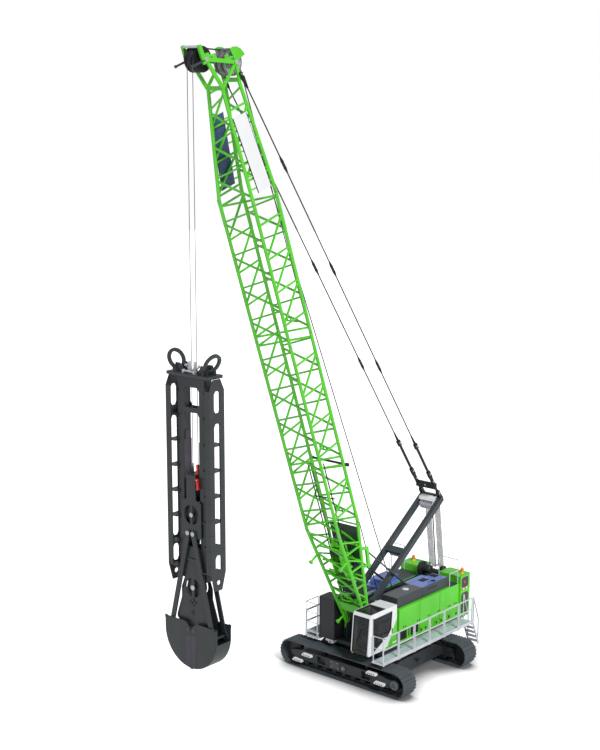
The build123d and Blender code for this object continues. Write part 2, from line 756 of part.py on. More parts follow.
def sign_boards():
    """Two plain boards along the sides of the top section."""
    boards = []
    low, high = SIGN_SPAN
    slope = (CHORD_HALF_WIDTH - HEAD_HALF_WIDTH) / (HEAD_END - SECTION_ENDS[-1])
    lift = CHORD_RADIUS * hypot(1, slope) + SEAT_GAP
    for side in (-1, 1):
        corners = []
        for along in (low, high):
            corners.append((chord_point("D", along)[0] + lift, along))
        (x_low, _), (x_high, _) = corners
        outline = [
            (x_low, low), (x_low + 30, low), (x_high + 30, high), (x_high, high)]
        plane = Plane(origin=(0, 0, 0), x_dir=(1, 0, 0), z_dir=(0, -1, 0))
        slab = extrude(plane * Polygon(*outline, align=None), 360, both=True)
        slab = Pos(0, 60, 0) * slab
        boards.append(slab if side > 0 else mirror(slab, Plane.YZ))
    return on_boom(joined(boards))


# Upper works

def turntable_frame():
    """The deck with its girders, the boom lugs, gantry posts and winch stands."""
    seat = DECK_TOP - SEAT_GAP
    deck = block((-DECK_HALF, DECK_HALF), (HOUSE_FRONT, HOUSE_REAR), (DECK_BOTTOM, seat))
    rear_top = WEIGHT_BOTTOM - SEAT_GAP
    deck += block((-DECK_HALF, DECK_HALF), (HOUSE_REAR, DECK_REAR), (DECK_BOTTOM, rear_top))
    deck += block((-DECK_HALF, CAB_OUTER - 60), (DECK_FRONT, HOUSE_FRONT), (DECK_BOTTOM, seat))
    pieces = [deck]
    ring_seat = (RING_TOP, DECK_BOTTOM + 10)
    pieces.append(bar((0, 0, ring_seat[0]), (0, 0, ring_seat[1]), RING_RADIUS - 60, 24))
    eye_half = FOOT_EYE_WIDTH / 2 + THRUST_GAP
    base = DECK_TOP - 20
    lug = [
        (FOOT_PIN_Y - 170, base), (FOOT_PIN_Y - 170, FOOT_PIN_Z + 60),
        (FOOT_PIN_Y - 80, FOOT_PIN_Z + 160), (FOOT_PIN_Y + 80, FOOT_PIN_Z + 160),
        (FOOT_PIN_Y + 260, FOOT_PIN_Z), (HOUSE_FRONT, base),
    ]
    post_y, post_z = GANTRY_FOOT
    post = [
        (post_y - 150, base), (post_y - 150, post_z + 60), (post_y - 70, post_z + 150),
        (post_y + 70, post_z + 150), (post_y + 160, post_z), (HOUSE_FRONT - 20, base),
    ]
    cheek = [(HOUSE_FRONT - 100, base), (HOUSE_FRONT - 100, CHEEK_TOP)]
    for y, z, _ in (*HOIST_DRUMS, LUFF_DRUM):
        cheek += [(y - 220, CHEEK_TOP), (y - 110, z + 110), (y + 110, z + 110), (y + 220, CHEEK_TOP)]
    cheek += [(DECK_REAR - 200, CHEEK_TOP), (DECK_REAR - 200, WEIGHT_BOTTOM - 20)]
    for side in (-1, 1):
        for offset, thick in ((-eye_half - 50, 50), (eye_half, 35)):
            inner = FOOT_HALF_WIDTH + offset
            pieces.append(side_plate(lug, sorted((side * inner, side * (inner + thick)))))
        leg_half = LEG_WIDTH / 2 + THRUST_GAP
        for offset in (-leg_half - 45, leg_half):
            inner = GANTRY_HALF + offset
            pieces.append(side_plate(post, sorted((side * inner, side * (inner + 45)))))
        pieces.append(side_plate(cheek, sorted((side * CHEEK_INNER, side * (CHEEK_INNER + PLATE)))))
    for x in (CAB_INNER + 100, CAB_OUTER - 160):
        for y in (-1800, -1100):
            pieces.append(block((x - 60, x + 60), (y - 60, y + 60), (base, CAB_BOTTOM - SEAT_GAP)))
    frame = joined(pieces)
    for y, z, _ in (*HOIST_DRUMS, LUFF_DRUM):
        frame -= disc((-480, 480), (y, z), bore_corner(DRUM_SHAFT), PIN_SIDES)
    pins = []
    for side in (-1, 1):
        foot_pin = sorted((side * (FOOT_HALF_WIDTH - 90), side * (FOOT_HALF_WIDTH + 80)))
        pins.append(disc(foot_pin, (FOOT_PIN_Y, FOOT_PIN_Z), FOOT_PIN_RADIUS, PIN_SIDES))
        gantry_pin = sorted((side * (GANTRY_HALF - 140), side * (GANTRY_HALF + 140)))
        pins.append(disc(gantry_pin, GANTRY_FOOT, GANTRY_PIN, PIN_SIDES))
    return frame + pins


def left_house():
    """The engine house on the cab side, with its raised hood."""
    body = block((HOUSE_INNER, HOUSE_HALF), (HOUSE_FRONT, HOUSE_REAR), (DECK_TOP, HOUSE_TOP))
    for y in (870, 2390):
        body -= block((HOUSE_HALF - 8, HOUSE_HALF + 1), (y - 7, y + 7), (DECK_TOP - 1, HOUSE_TOP + 1))
    return body


def house_hood():
    """The dark hood above the engine house."""
    return block(
        (HOOD_INNER, HOOD_OUTER), (HOOD_FRONT, HOOD_REAR), (HOUSE_TOP + SEAT_GAP, HOOD_TOP))


def right_house():
    """The tank house on the far side."""
    return block((-HOUSE_HALF, -HOUSE_INNER), (HOUSE_FRONT, HOUSE_REAR), (DECK_TOP, HOUSE_TOP))


def front_box():
    """The dark cooler box ahead of the tank house."""
    return block(
        (-HOUSE_HALF, -FRONT_BOX_INNER), (FRONT_BOX_FRONT, FRONT_BOX_REAR),
        (DECK_TOP + SEAT_GAP, FRONT_BOX_TOP))


def counterweight():
    """Two stacks of two cast blocks at the rear."""
    solids = []
    for low, high in ((WEIGHT_BOTTOM, WEIGHT_SPLIT), (WEIGHT_SPLIT + SEAT_GAP, WEIGHT_TOP)):
        slab = block((WEIGHT_INNER, WEIGHT_OUTER), (WEIGHT_FRONT, WEIGHT_REAR), (low, high))
        edge = slab.edges().filter_by(Axis.Z).group_by(Axis.Y)[-1]
        solids += mirrored(chamfer(edge, 90))
    return Compound(children=list(solids))


def rail_bay(x, start, end, low):
    """One inverted U of hand rail with a knee rail."""
    r = RAIL_RADIUS
    span = (x - r, x + r)
    pieces = [block(span, (y - r, y + r), (low, RAIL_TOP)) for y in (start, end)]
    for z in (RAIL_TOP - 2 * r, RAIL_MID):
        pieces.append(block(span, (start, end), (z, z + 2 * r)))
    return pieces


def walkway(side, front):
    """A grating walkway with its edge beam, brackets and hand rails."""
    inner = HOUSE_HALF + SEAT_GAP
    if side > 0:
        inner = CAB_OUTER + DOOR_THICK + 2 * RUN_GAP
    span = sorted((side * inner, side * WALK_OUTER))
    pieces = [block(span, (front, WALK_REAR), (WALK_TOP - 60, WALK_TOP))]
    near = sorted((side * (DECK_HALF + SEAT_GAP), side * (inner + 20)))
    pieces.append(block(near, (HOUSE_FRONT, WALK_REAR), (WALK_TOP - 60, WALK_TOP)))
    pitch = (WALK_REAR - front) / RAIL_BAYS
    edge = side * (WALK_OUTER - RAIL_RADIUS)
    for bay in range(RAIL_BAYS):
        start = front + bay * pitch + 40
        pieces += rail_bay(edge, start, start + pitch - 80, WALK_TOP - 30)
    return joined(pieces)


def rear_ladder():
    """The access ladder down from the rear end of the left walkway."""
    top, bottom = (WALK_REAR + 60, WALK_TOP - 30), (WALK_REAR + LADDER_RUN, LADDER_BOTTOM)
    outer, inner = WALK_OUTER - 20, WALK_OUTER - 20 - LADDER_WIDTH
    rail = RAIL_RADIUS
    hook = (WALK_REAR + SEAT_GAP, WALK_REAR + 75)
    pieces = [block((inner, outer), hook, (WALK_TOP - 55, WALK_TOP - 10))]
    for index in range(LADDER_TREADS):
        part = (index + 0.5) / LADDER_TREADS
        y = top[0] + part * (bottom[0] - top[0])
        z = top[1] + part * (bottom[1] - top[1])
        pieces.append(block((inner, outer), (y - 90, y + 90), (z - 15, z + 15)))
    post_y, foot_y = top[0] + 25, top[0] + 440
    foot_part = (foot_y - top[0]) / (bottom[0] - top[0])
    foot_z = top[1] + foot_part * (bottom[1] - top[1])
    for x in (inner, outer):
        span = (x - rail, x + rail)
        pieces.append(box_beam((x, *top), (x, *bottom), 30, 100))
        pieces.append(block(span, (post_y - rail, post_y + rail), (top[1] - 100, RAIL_TOP)))
        slope = (x, foot_y, LADDER_RAIL_END)
        pieces.append(box_beam((x, post_y, RAIL_TOP - 20), slope, 2 * rail, 2 * rail))
        pieces.append(block(span, (foot_y - rail, foot_y + rail), (foot_z, LADDER_RAIL_END + 15)))
    return joined(pieces)


# Cab

CAB_OUTLINE = [
    (CAB_REAR, CAB_BOTTOM), (CAB_FRONT - 90, CAB_BOTTOM), (CAB_FRONT - 130, CAB_BOTTOM + 90),
    (CAB_FRONT + 20, CAB_TOP - 130), (CAB_FRONT + 70, CAB_TOP - 30), (CAB_FRONT + 150, CAB_TOP),
    (CAB_REAR, CAB_TOP),
]


def offset_outline(inset):
    """The cab's side outline moved inwards."""
    face = Plane.YZ * Polygon(*CAB_OUTLINE, align=None)
    return offset(face, -inset, kind=Kind.INTERSECTION) if inset else face


def cab_slice(inset):
    """A solid of the cab's side outline moved inwards, between the inner faces of its sides."""
    width = CAB_OUTER - CAB_INNER - 2 * CAB_WALL
    return Pos(CAB_INNER + CAB_WALL, 0, 0) * extrude(offset_outline(inset), width, dir=(1, 0, 0))


def cab_windows(gap):
    """The front, roof and side window openings, each smaller by a gap all round."""
    low, high = CAB_INNER + 75 + gap, CAB_OUTER - 75 - gap
    front = block(
        (low, high), (CAB_FRONT - 180, CAB_FRONT + 120), (CAB_BOTTOM + 120 + gap, CAB_TOP - 160 - gap))
    roof = block(
        (low + 15, high - 15), (CAB_FRONT + 250 + gap, CAB_REAR - 780 - gap),
        (CAB_TOP - 100, CAB_TOP + 50))
    side = block(
        (CAB_INNER - 50, CAB_INNER + 100), (CAB_FRONT + 260 + gap, CAB_REAR - 300 - gap),
        (CAB_BOTTOM + 400 + gap, CAB_TOP - 140 - gap))
    return front, roof, side


def cab_shell():
    """The hollow cab with its window and door openings."""
    shell = side_plate(CAB_OUTLINE, (CAB_INNER, CAB_OUTER))
    shell -= cab_slice(CAB_WALL)
    for opening in cab_windows(0):
        shell -= opening
    shell -= block(
        (CAB_OUTER - 100, CAB_OUTER + 50), (DOOR_FRONT + 60, DOOR_REAR - 60),
        (DOOR_BOTTOM + 60, DOOR_TOP - 60))
    rail = (CAB_OUTER - 5, CAB_OUTER + RUN_GAP - THRUST_GAP)
    for z in (DOOR_BOTTOM + 15, DOOR_TOP - 45):
        shell += block(rail, (DOOR_FRONT, CAB_REAR - 10), (z, z + 30))
    return shell


def cab_glass():
    """The bent front pane, the roof pane and the pane on the boom's side."""
    front, roof, side = cab_windows(SEAT_GAP)
    skin = cab_slice(PANE_DEPTH) - cab_slice(PANE_DEPTH + PANE)
    x = CAB_INNER + PANE_DEPTH
    side_pane = side & block((x, x + PANE), (CAB_FRONT, CAB_REAR), (CAB_BOTTOM, CAB_TOP))
    panes = [skin & front, skin & roof, side_pane]
    return Compound(children=[pane.solids()[0] for pane in panes])


def door_window(x, gap):
    """A solid of the door's window between two X values, smaller by a gap all round."""
    face = Polygon(*DOOR_WINDOW, align=None)
    if gap:
        face = offset(face, -gap, kind=Kind.INTERSECTION)
    return extrude(Plane.YZ.offset(x[0]) * face, x[1] - x[0], dir=(1, 0, 0))


def cab_door():
    """The sliding door's frame, open where its window is."""
    x = (CAB_OUTER + RUN_GAP, CAB_OUTER + RUN_GAP + DOOR_THICK)
    door = block(x, (DOOR_FRONT, DOOR_REAR), (DOOR_BOTTOM, DOOR_TOP))
    return door - door_window((x[0] - 5, x[1] + 5), 0)


def cab_door_glass():
    """The door's window pane."""
    x = CAB_OUTER + RUN_GAP + DOOR_THICK / 2
    return door_window((x - PANE / 2, x + PANE / 2), SEAT_GAP)


def cab_seat():
    """The driver's seat on its base."""
    middle = (CAB_INNER + CAB_OUTER) / 2
    floor = CAB_BOTTOM + CAB_WALL + SEAT_GAP
    base = block((middle - 180, middle + 180), (-1750, -1350), (floor, floor + 330))
    base += block((middle - 240, middle + 240), (-1830, -1300), (floor + 320, floor + 450))
    return base + block((middle - 230, middle + 230), (-1340, -1200), (floor + 400, floor + 1150))


# Gantry, pendants, backstops and winches

def gantry():
    """The leaning A-frame: two box legs, a cross beam and the head beam."""
    pieces = []
    for side in (-1, 1):
        x = side * GANTRY_HALF
        pieces.append(box_beam((x, *GANTRY_FOOT), (x, *GANTRY_TOP), LEG_WIDTH, LEG_DEPTH))
        pieces.append(disc((x - LEG_WIDTH / 2, x + LEG_WIDTH / 2), GANTRY_FOOT, 125, 12))
        pin_span = sorted((side * (PENDANT_X - 90), side * (PENDANT_X + 90)))
        pieces.append(disc(pin_span, GANTRY_EYE, EYE_PIN, PIN_SIDES))
        plate = [
            (GANTRY_EYE[0] - 60, GANTRY_EYE[1] + 60), (GANTRY_EYE[0] + 60, GANTRY_EYE[1] + 60),
            (GANTRY_TOP[0] + 120, GANTRY_TOP[1] - 20), (GANTRY_TOP[0] - 120, GANTRY_TOP[1] - 60)]
        for offset in (-90, 60):
            inner = PENDANT_X + offset
            pieces.append(side_plate(plate, sorted((side * inner, side * (inner + 30)))))
    inner = GANTRY_HALF - LEG_WIDTH / 2 + 10
    y, z = GANTRY_TOP
    pieces.append(block((-inner, inner), (y - 100, y + 100), (z - 110, z + 110)))
    dy, dz = GANTRY_TOP[0] - GANTRY_FOOT[0], GANTRY_TOP[1] - GANTRY_FOOT[1]
    length = hypot(dy, dz)
    corners = []
    for along, across in ((-1, -1), (1, -1), (1, 1), (-1, 1)):
        run = BRACE_SHARE * length + along * BRACE_DEPTH / 2
        rise = across * BRACE_THICK / 2
        corners.append((
            GANTRY_FOOT[0] + (run * dy - rise * dz) / length,
            GANTRY_FOOT[1] + (run * dz + rise * dy) / length))
    pieces.append(side_plate(corners, (-inner, inner)))
    return joined(pieces) - disc((-1000, 1000), GANTRY_FOOT, bore_corner(GANTRY_PIN), PIN_SIDES)


def pendants():
    """The two boom stays with their connectors and lower eyes."""
    dy = GANTRY_EYE[0] - PENDANT_HEAD[0]
    dz = GANTRY_EYE[1] - PENDANT_HEAD[1]
    length = hypot(dy, dz)
    solids = []
    for side in (-1, 1):
        x = side * PENDANT_X
        eye_share = (length - EYE_HOLE - 15) / length
        end = (PENDANT_HEAD[0] + eye_share * dy, PENDANT_HEAD[1] + eye_share * dz)
        pieces = [box_beam((x, *PENDANT_HEAD), (x, *end), 2 * PENDANT_RADIUS, 2 * PENDANT_RADIUS)]
        eye = disc((x - 25, x + 25), GANTRY_EYE, EYE_RING, 16)
        pieces.append(eye - disc((x - 30, x + 30), GANTRY_EYE, EYE_HOLE, 16))
        pieces.append(disc((x - 25, x + 25), PENDANT_HEAD, 90, 10))
        for part in CONNECTOR_SHARES:
            start, stop = part - 160 / length, part + 160 / length
            first = (x, PENDANT_HEAD[0] + start * dy, PENDANT_HEAD[1] + start * dz)
            last = (x, PENDANT_HEAD[0] + stop * dy, PENDANT_HEAD[1] + stop * dz)
            pieces.append(box_beam(first, last, 70, 90))
        bore = disc((x - 60, x + 60), PENDANT_HEAD, bore_corner(EYE_PIN), PIN_SIDES)
        solids.append(joined(pieces) - bore)
    return Compound(children=solids)


def winch_drum(place):
    """A rope drum with its flanges and shaft."""
    y, z, radius = place
    drum = disc((-DRUM_HALF, DRUM_HALF), (y, z), radius - 110, 16)
    hub = CHEEK_INNER - THRUST_GAP
    drum += disc((-hub, hub), (y, z), DRUM_SHAFT + 30, PIN_SIDES)
    for side in (-1, 1):
        flange = sorted((side * DRUM_HALF, side * (DRUM_HALF - DRUM_FLANGE)))
        drum += disc(flange, (y, z), radius, 16)
    return drum + disc((-455, 455), (y, z), DRUM_SHAFT, PIN_SIDES)


# Grab

def at_grab(shape):
    """A shape built about the rope line, put in its place."""
    return Pos(0, GRAB_Y, 0) * shape


def hoist_ropes():
    """The two ropes from the boom head down into the grab."""
    top = Vector(*boom_point(FRONT_SHAFT))
    solids = [
        bar((x, GRAB_Y, GRAB_ROPE_END), (x, GRAB_Y, top.Z), ROPE_RADIUS, 6)
        for x in (-ROPE_X, ROPE_X)]
    return Compound(children=solids)


def boom_point(place):
    """The machine coordinates of a place (along, across) in the boom's middle plane."""
    angle = radians(BOOM_ANGLE)
    along, across = place
    return (
        0, FOOT_PIN_Y - along * cos(angle) + across * sin(angle),
        FOOT_PIN_Z + along * sin(angle) + across * cos(angle))


def grab_head():
    """The head plate with its two leaning lifting loops and rope guides."""
    half = GRAB_HALF_WIDTH - 60
    low = GRAB_TOP - GRAB_HEAD_PLATE
    plate = block((-half, half), (-GRAB_HALF_DEPTH, GRAB_HALF_DEPTH), (low, GRAB_TOP))
    plate -= block((-240, 240), (-120, 120), (low - 10, GRAB_TOP + 10))
    lean = radians(LOOP_LEAN)
    foot = (LOOP_Z - GRAB_TOP) / cos(lean) + 20
    pieces = [plate]
    for side in (-1, 1):
        normal = (side * cos(lean), 0, -sin(lean))
        plane = Plane(origin=(side * LOOP_X, 0, LOOP_Z), x_dir=(0, 1, 0), z_dir=normal)
        down = -1 if plane.y_dir.Z > 0 else 1
        pieces.append(ring_plate(plane, LOOP_OUTER, LOOP_INNER, LOOP_THICK))
        web = [
            (-LOOP_OUTER + 40, down * foot), (LOOP_OUTER - 40, down * foot),
            (LOOP_OUTER - 110, down * 310), (-LOOP_OUTER + 110, down * 310)]
        pieces.append(extrude(plane * Polygon(*web, align=None), LOOP_THICK / 2 - 5, both=True))
        gusset = [
            (side * 330, GRAB_TOP - 10), (side * 860, GRAB_TOP - 10),
            (side * 780, GRAB_TOP + 330), (side * 560, GRAB_TOP + 330)]
        for y in (-200, 160):
            pieces.append(front_plate(gusset, (y, y + 40)))
        guide = sorted((side * (ROPE_X - 60), side * (ROPE_X + 60)))
        pieces.append(block(guide, (ROPE_FLAT + THRUST_GAP, 130), (low + 10, GRAB_TOP + 60)))
    return at_grab(joined(pieces))


def grab_guide_frame():
    """The centre posts that guide the carriage, the bridge and the lower body."""
    pieces = []
    low = GRAB_TOP - GRAB_HEAD_PLATE - SEAT_GAP
    for side in (-1, 1):
        span = sorted((side * POST_INNER, side * POST_OUTER))
        pieces.append(block(span, (-POST_HALF_DEPTH, POST_HALF_DEPTH), (POST_FOOT, low)))
    neck, edge = POST_INNER - 90, POST_INNER + 10
    bridge = [
        (-edge, BRIDGE_Z - 260), (-neck, BRIDGE_Z - 90), (neck, BRIDGE_Z - 90), (edge, BRIDGE_Z - 260),
        (edge, BRIDGE_Z + 260), (neck, BRIDGE_Z + 90), (-neck, BRIDGE_Z + 90), (-edge, BRIDGE_Z + 260),
    ]
    edge = POST_INNER + 20
    body = [
        (-340, BODY_TOP), (340, BODY_TOP), (edge, BODY_TOP - 150), (edge, 7000),
        (600, 6600), (600, 6200), (860, 5450), (860, 5330), (300, 4800), (-300, 4800), (-860, 5330),
        (-860, 5450), (-600, 6200), (-600, 6600), (-edge, 7000), (-edge, BODY_TOP - 150),
    ]
    window = cross_disc((-400, 400), (0, BODY_SHEAVE_Z), BODY_SHEAVE_RADIUS - 10, 16)
    for side in (-1, 1):
        rear = side * POST_HALF_DEPTH
        pieces.append(front_plate(bridge, sorted((rear, rear - side * PLATE))))
        top_bridge = [
            (-edge, low - 5), (-edge, TOP_BRIDGE_Z - 170), (-neck, TOP_BRIDGE_Z), (neck, TOP_BRIDGE_Z),
            (edge, TOP_BRIDGE_Z - 170), (edge, low - 5)]
        pieces.append(front_plate(top_bridge, sorted((rear, rear - side * PLATE))))
        plate = front_plate(body, sorted((side * BODY_HALF_DEPTH, rear - side * 5)))
        pieces.append(plate - window)
        strap = sorted((side * BODY_HALF_DEPTH, rear - side * 5))
        pieces.append(block((-70, 70), strap, (BODY_SHEAVE_Z - 410, BODY_SHEAVE_Z + 410)))
        depth = (-POST_HALF_DEPTH, POST_HALF_DEPTH)
        for z in (5350, 7350):
            pieces.append(block(sorted((side * 250, side * 380)), depth, (z, z + 60)))
        reach = ARM_OUTER + 10 + SHELL_PLATE
        place = (side * SHELL_PIVOT[0], SHELL_PIVOT[1])
        pieces.append(cross_disc((-reach, reach), place, SHELL_PIN_RADIUS, PIN_SIDES))
        collar = ARM_OUTER + 10 - THRUST_GAP
        pieces.append(cross_disc((-collar, collar), place, SHELL_PIN_RADIUS + 30, PIN_SIDES))
        sheave = sorted((side * 30, side * 130))
        pieces.append(cross_disc(sheave, (0, BODY_SHEAVE_Z), BODY_SHEAVE_RADIUS, 20))
    axle = (-POST_HALF_DEPTH, POST_HALF_DEPTH)
    pieces.append(cross_disc(axle, (0, BODY_SHEAVE_Z), 70, 8))
    return at_grab(joined(pieces))


def grab_side_frames():
    """The outer columns: windowed side plates with front and back flanges."""
    half = GRAB_HALF_DEPTH
    top = GRAB_TOP - GRAB_HEAD_PLATE - SEAT_GAP
    bevel = 200
    low_edge, high_edge = SIDE_FRAME_BOTTOM + 700, top - 420
    outline = [
        (-half + bevel, SIDE_FRAME_BOTTOM), (half - bevel, SIDE_FRAME_BOTTOM), (half, low_edge),
        (half, high_edge), (half - bevel, top), (-half + bevel, top), (-half, high_edge),
        (-half, low_edge),
    ]
    solids = []
    for side in (-1, 1):
        outer = side * GRAB_HALF_WIDTH
        through = sorted((outer + side * 50, outer - side * 100))
        plate = side_plate(outline, sorted((outer, outer - side * COLUMN_PLATE)))
        # Low, high of each window
        for low, high in COLUMN_WINDOWS:
            window = [
                (-80, low), (80, low), (150, low + 130), (150, high - 130),
                (80, high), (-80, high), (-150, high - 130), (-150, low + 130)]
            plate -= side_plate(window, through)
        plate -= disc(through, (0, COLUMN_HOLE_Z), 95, 12)
        pieces = [plate]
        flange = sorted((outer, outer - side * COLUMN_WIDTH))
        for y in (-half, half - COLUMN_PLATE):
            pieces.append(block(flange, (y, y + COLUMN_PLATE), (low_edge, high_edge)))
        reach = sorted((outer - side * (COLUMN_PLATE - 5), side * (POST_OUTER + SEAT_GAP)))
        for index in range(COLUMN_RUNGS):
            z = COLUMN_RUNG_Z + index * COLUMN_RUNG_PITCH
            inset = half - COLUMN_PLATE + 5
            pieces.append(block(reach, (-inset, inset), (z, z + 40)))
        solids.append(joined(pieces))
    return at_grab(Compound(children=solids))


def grab_carriage():
    """The sliding carriage: two window plates, its rope sheaves and the arm pins."""
    half = POST_INNER - RUN_GAP
    wide = CARRIAGE_PLATE_HALF
    outline = [
        (-wide, CARRIAGE_WAIST - 200), (-200, CARRIAGE_BOTTOM), (200, CARRIAGE_BOTTOM),
        (wide, CARRIAGE_WAIST - 200), (wide, CARRIAGE_SHOULDER), (CARRIAGE_NECK, CARRIAGE_SHOULDER + 100),
        (CARRIAGE_NECK, CARRIAGE_TOP), (-CARRIAGE_NECK, CARRIAGE_TOP),
        (-CARRIAGE_NECK, CARRIAGE_SHOULDER + 100), (-wide, CARRIAGE_SHOULDER),
    ]
    window = CARRIAGE_SHEAVE_RADIUS - 15
    depth = CARRIAGE_DEPTH - PLATE
    pieces = []
    for side in (-1, 1):
        span = sorted((side * CARRIAGE_DEPTH, side * depth))
        plate = front_plate(outline, span)
        plate -= cross_disc((-400, 400), (0, CARRIAGE_SHEAVE_Z), window, 16)
        pieces.append(plate)
        strap_z = (CARRIAGE_SHEAVE_Z - window - 20, CARRIAGE_SHEAVE_Z + window + 20)
        pieces.append(block((-60, 60), span, strap_z))
        sheave = sorted((side * 50, side * 150))
        pieces.append(cross_disc(sheave, (0, CARRIAGE_SHEAVE_Z), CARRIAGE_SHEAVE_RADIUS, 20))
        spacer = sorted((side * (half - 40), side * half))
        pieces.append(block(
            spacer, (-depth - 5, depth + 5), (CARRIAGE_WAIST + 100, CARRIAGE_SHOULDER - 100)))
        shoe = sorted((side * (half - 5), side * (POST_INNER - THRUST_GAP)))
        for z in (CARRIAGE_WAIST + 100, CARRIAGE_SHOULDER - 350):
            pieces.append(block(shoe, (-150, 150), (z, z + 250)))
        pin = (side * ARM_TOP[0], ARM_TOP[1])
        for face in (-1, 1):
            stub = sorted((face * depth, face * (ARM_OUTER + 12)))
            pieces.append(cross_disc(stub, pin, SHELL_PIN_RADIUS, PIN_SIDES))
            collar = sorted((face * (CARRIAGE_DEPTH - 5), face * (ARM_INNER - THRUST_GAP)))
            pieces.append(cross_disc(collar, pin, SHELL_PIN_RADIUS + 30, PIN_SIDES))
    pieces.append(cross_disc((-depth, depth), (0, CARRIAGE_SHEAVE_Z), 60, 8))
    return at_grab(joined(pieces))


def push_arms(side):
    """The front and back push arm of one shell."""
    top = (side * ARM_TOP[0], ARM_TOP[1])
    foot = (side * ARM_FOOT[0], ARM_FOOT[1])
    run = hypot(foot[0] - top[0], foot[1] - top[1])
    nx, nz = (foot[1] - top[1]) / run, -(foot[0] - top[0]) / run
    half = ARM_HALF
    outline = [
        (top[0] + nx * half, top[1] + nz * half), (foot[0] + nx * half, foot[1] + nz * half),
        (foot[0] - nx * half, foot[1] - nz * half), (top[0] - nx * half, top[1] - nz * half),
    ]
    solids = []
    for face in (-1, 1):
        span = sorted((face * ARM_INNER, face * ARM_OUTER))
        through = (span[0] - 5, span[1] + 5)
        arm = front_plate(outline, span)
        arm += cross_disc(span, top, half + 5, 12)
        arm += cross_disc(span, foot, ARM_EYE, 12)
        arm -= cross_disc(through, top, bore_corner(SHELL_PIN_RADIUS), PIN_SIDES)
        solids.append(arm - cross_disc(through, foot, ARM_EYE_HOLE, 12))
    return at_grab(Compound(children=solids))


def shell(side):
    """One clamshell half: two cheeks, the curved back and the cutting edge."""
    centre_gap = 4
    bottom = SHELL_ARC_Z - SHELL_HALF
    edge = Polyline(
        (centre_gap, bottom), (centre_gap, SHELL_PIVOT[1]), (70, SHELL_PIVOT[1] + 120), (290, SHELL_TOP),
        (SHELL_HALF, SHELL_TOP), (SHELL_HALF, SHELL_ARC_Z))
    arc = RadiusArc((SHELL_HALF, SHELL_ARC_Z), (centre_gap, bottom), SHELL_HALF)
    outline = make_face(Wire([*edge.edges(), *arc.edges()]))
    plane = Plane(origin=(0, 0, 0), x_dir=(1, 0, 0), z_dir=(0, -1, 0))
    solid = extrude(plane * outline, GRAB_HALF_DEPTH, both=True)
    inner = SHELL_HALF - SHELL_PLATE
    inner_edge = Polyline(
        (-60, bottom - 60), (-60, SHELL_TOP + 60), (inner, SHELL_TOP + 60), (inner, SHELL_ARC_Z))
    inner_arc = RadiusArc((inner, SHELL_ARC_Z), (0, bottom + SHELL_PLATE), inner)
    closing = Line((0, bottom + SHELL_PLATE), (-60, bottom - 60))
    hollow = make_face(Wire([*inner_edge.edges(), *inner_arc.edges(), *closing.edges()]))
    depth = ARM_OUTER + 10
    solid -= extrude(plane * hollow, depth, both=True)
    solid -= block((600, SHELL_HALF + 10), (-depth, depth), (SHELL_BACK_TOP, SHELL_TOP + 10))
    solid += cross_disc((-depth - 5, depth + 5), ARM_FOOT, SHELL_PIN_RADIUS, PIN_SIDES)
    solid -= cross_disc((-500, 500), SHELL_PIVOT, bore_corner(SHELL_PIN_RADIUS), PIN_SIDES)
    if side < 0:
        solid = mirror(solid, Plane.YZ)
    return at_grab(solid)


# Node name and shape of every sub-part
PARTS = {
    "carbody": carbody(),
    "slewing_ring": slewing_ring(),
    "track_frame_near": track_frame(-1),
    "track_frame_far": track_frame(1),
    "track_near": track(-1),
    "track_far": track(1),
    "drive_sprockets": drive_sprockets(),
    "idlers": idlers(),
    "track_rollers": track_rollers(),
    "grip_steps": grip_steps(),
    "turntable_frame": turntable_frame(),
    "left_house": left_house(),
    "house_hood": house_hood(),
    "right_house": right_house(),
    "front_box": front_box(),
    "counterweight": counterweight(),
    "left_walkway": walkway(1, WALK_FRONT),
    "right_walkway": walkway(-1, RIGHT_WALK_FRONT),
    "rear_ladder": rear_ladder(),
    "cab_shell": cab_shell(),
    "cab_glass": cab_glass(),
    "cab_door": cab_door(),
    "cab_door_glass": cab_door_glass(),
    "cab_seat": cab_seat(),
    "hoist_drum_front": winch_drum(HOIST_DRUMS[0]),
    "hoist_drum_rear": winch_drum(HOIST_DRUMS[1]),
    "luffing_drum": winch_drum(LUFF_DRUM),
    "gantry": gantry(),
    "pendants": pendants(),
    "boom_foot": boom_foot(),
    "boom_back_sheet": boom_back_sheet(),
    "boom_section_lower": boom_section(FOOT_END, SECTION_ENDS[0], 2),
    "boom_section_middle": boom_section(SECTION_ENDS[0], SECTION_ENDS[1], 4),
    "boom_section_upper": boom_section(SECTION_ENDS[1], SECTION_ENDS[2], 4),
    "boom_head": boom_head(),
    "sign_boards": sign_boards(),
    "front_sheaves": sheave_set(FRONT_SHAFT, FRONT_SHEAVE_RADIUS, SHEAVE_SET_HALF),
    "rear_sheaves": sheave_set(REAR_SHAFT, REAR_SHEAVE_RADIUS, SHEAVE_SET_HALF),
    "hoist_ropes": hoist_ropes(),
    "grab_head": grab_head(),
    "grab_guide_frame": grab_guide_frame(),
    "grab_side_frames": grab_side_frames(),
    "grab_carriage": grab_carriage(),
    "push_arms_left": push_arms(1),
    "push_arms_right": push_arms(-1),
    "shell_left": shell(1),
    "shell_right": shell(-1),
}

os.makedirs("parts", exist_ok=True)
for name, shape in PARTS.items():
    export_step(shape, f"parts/{name}.step")
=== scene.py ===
# %% [markdown]
# # A cable excavator with a diaphragm wall grab
# The imported model brings every load-carrying piece at its real size. This script adds what
# paint, glass, grating and rope look like. We load the frame first, because each later piece
# takes its place from a box of the frame.

# %% Load the frame
import json
import math

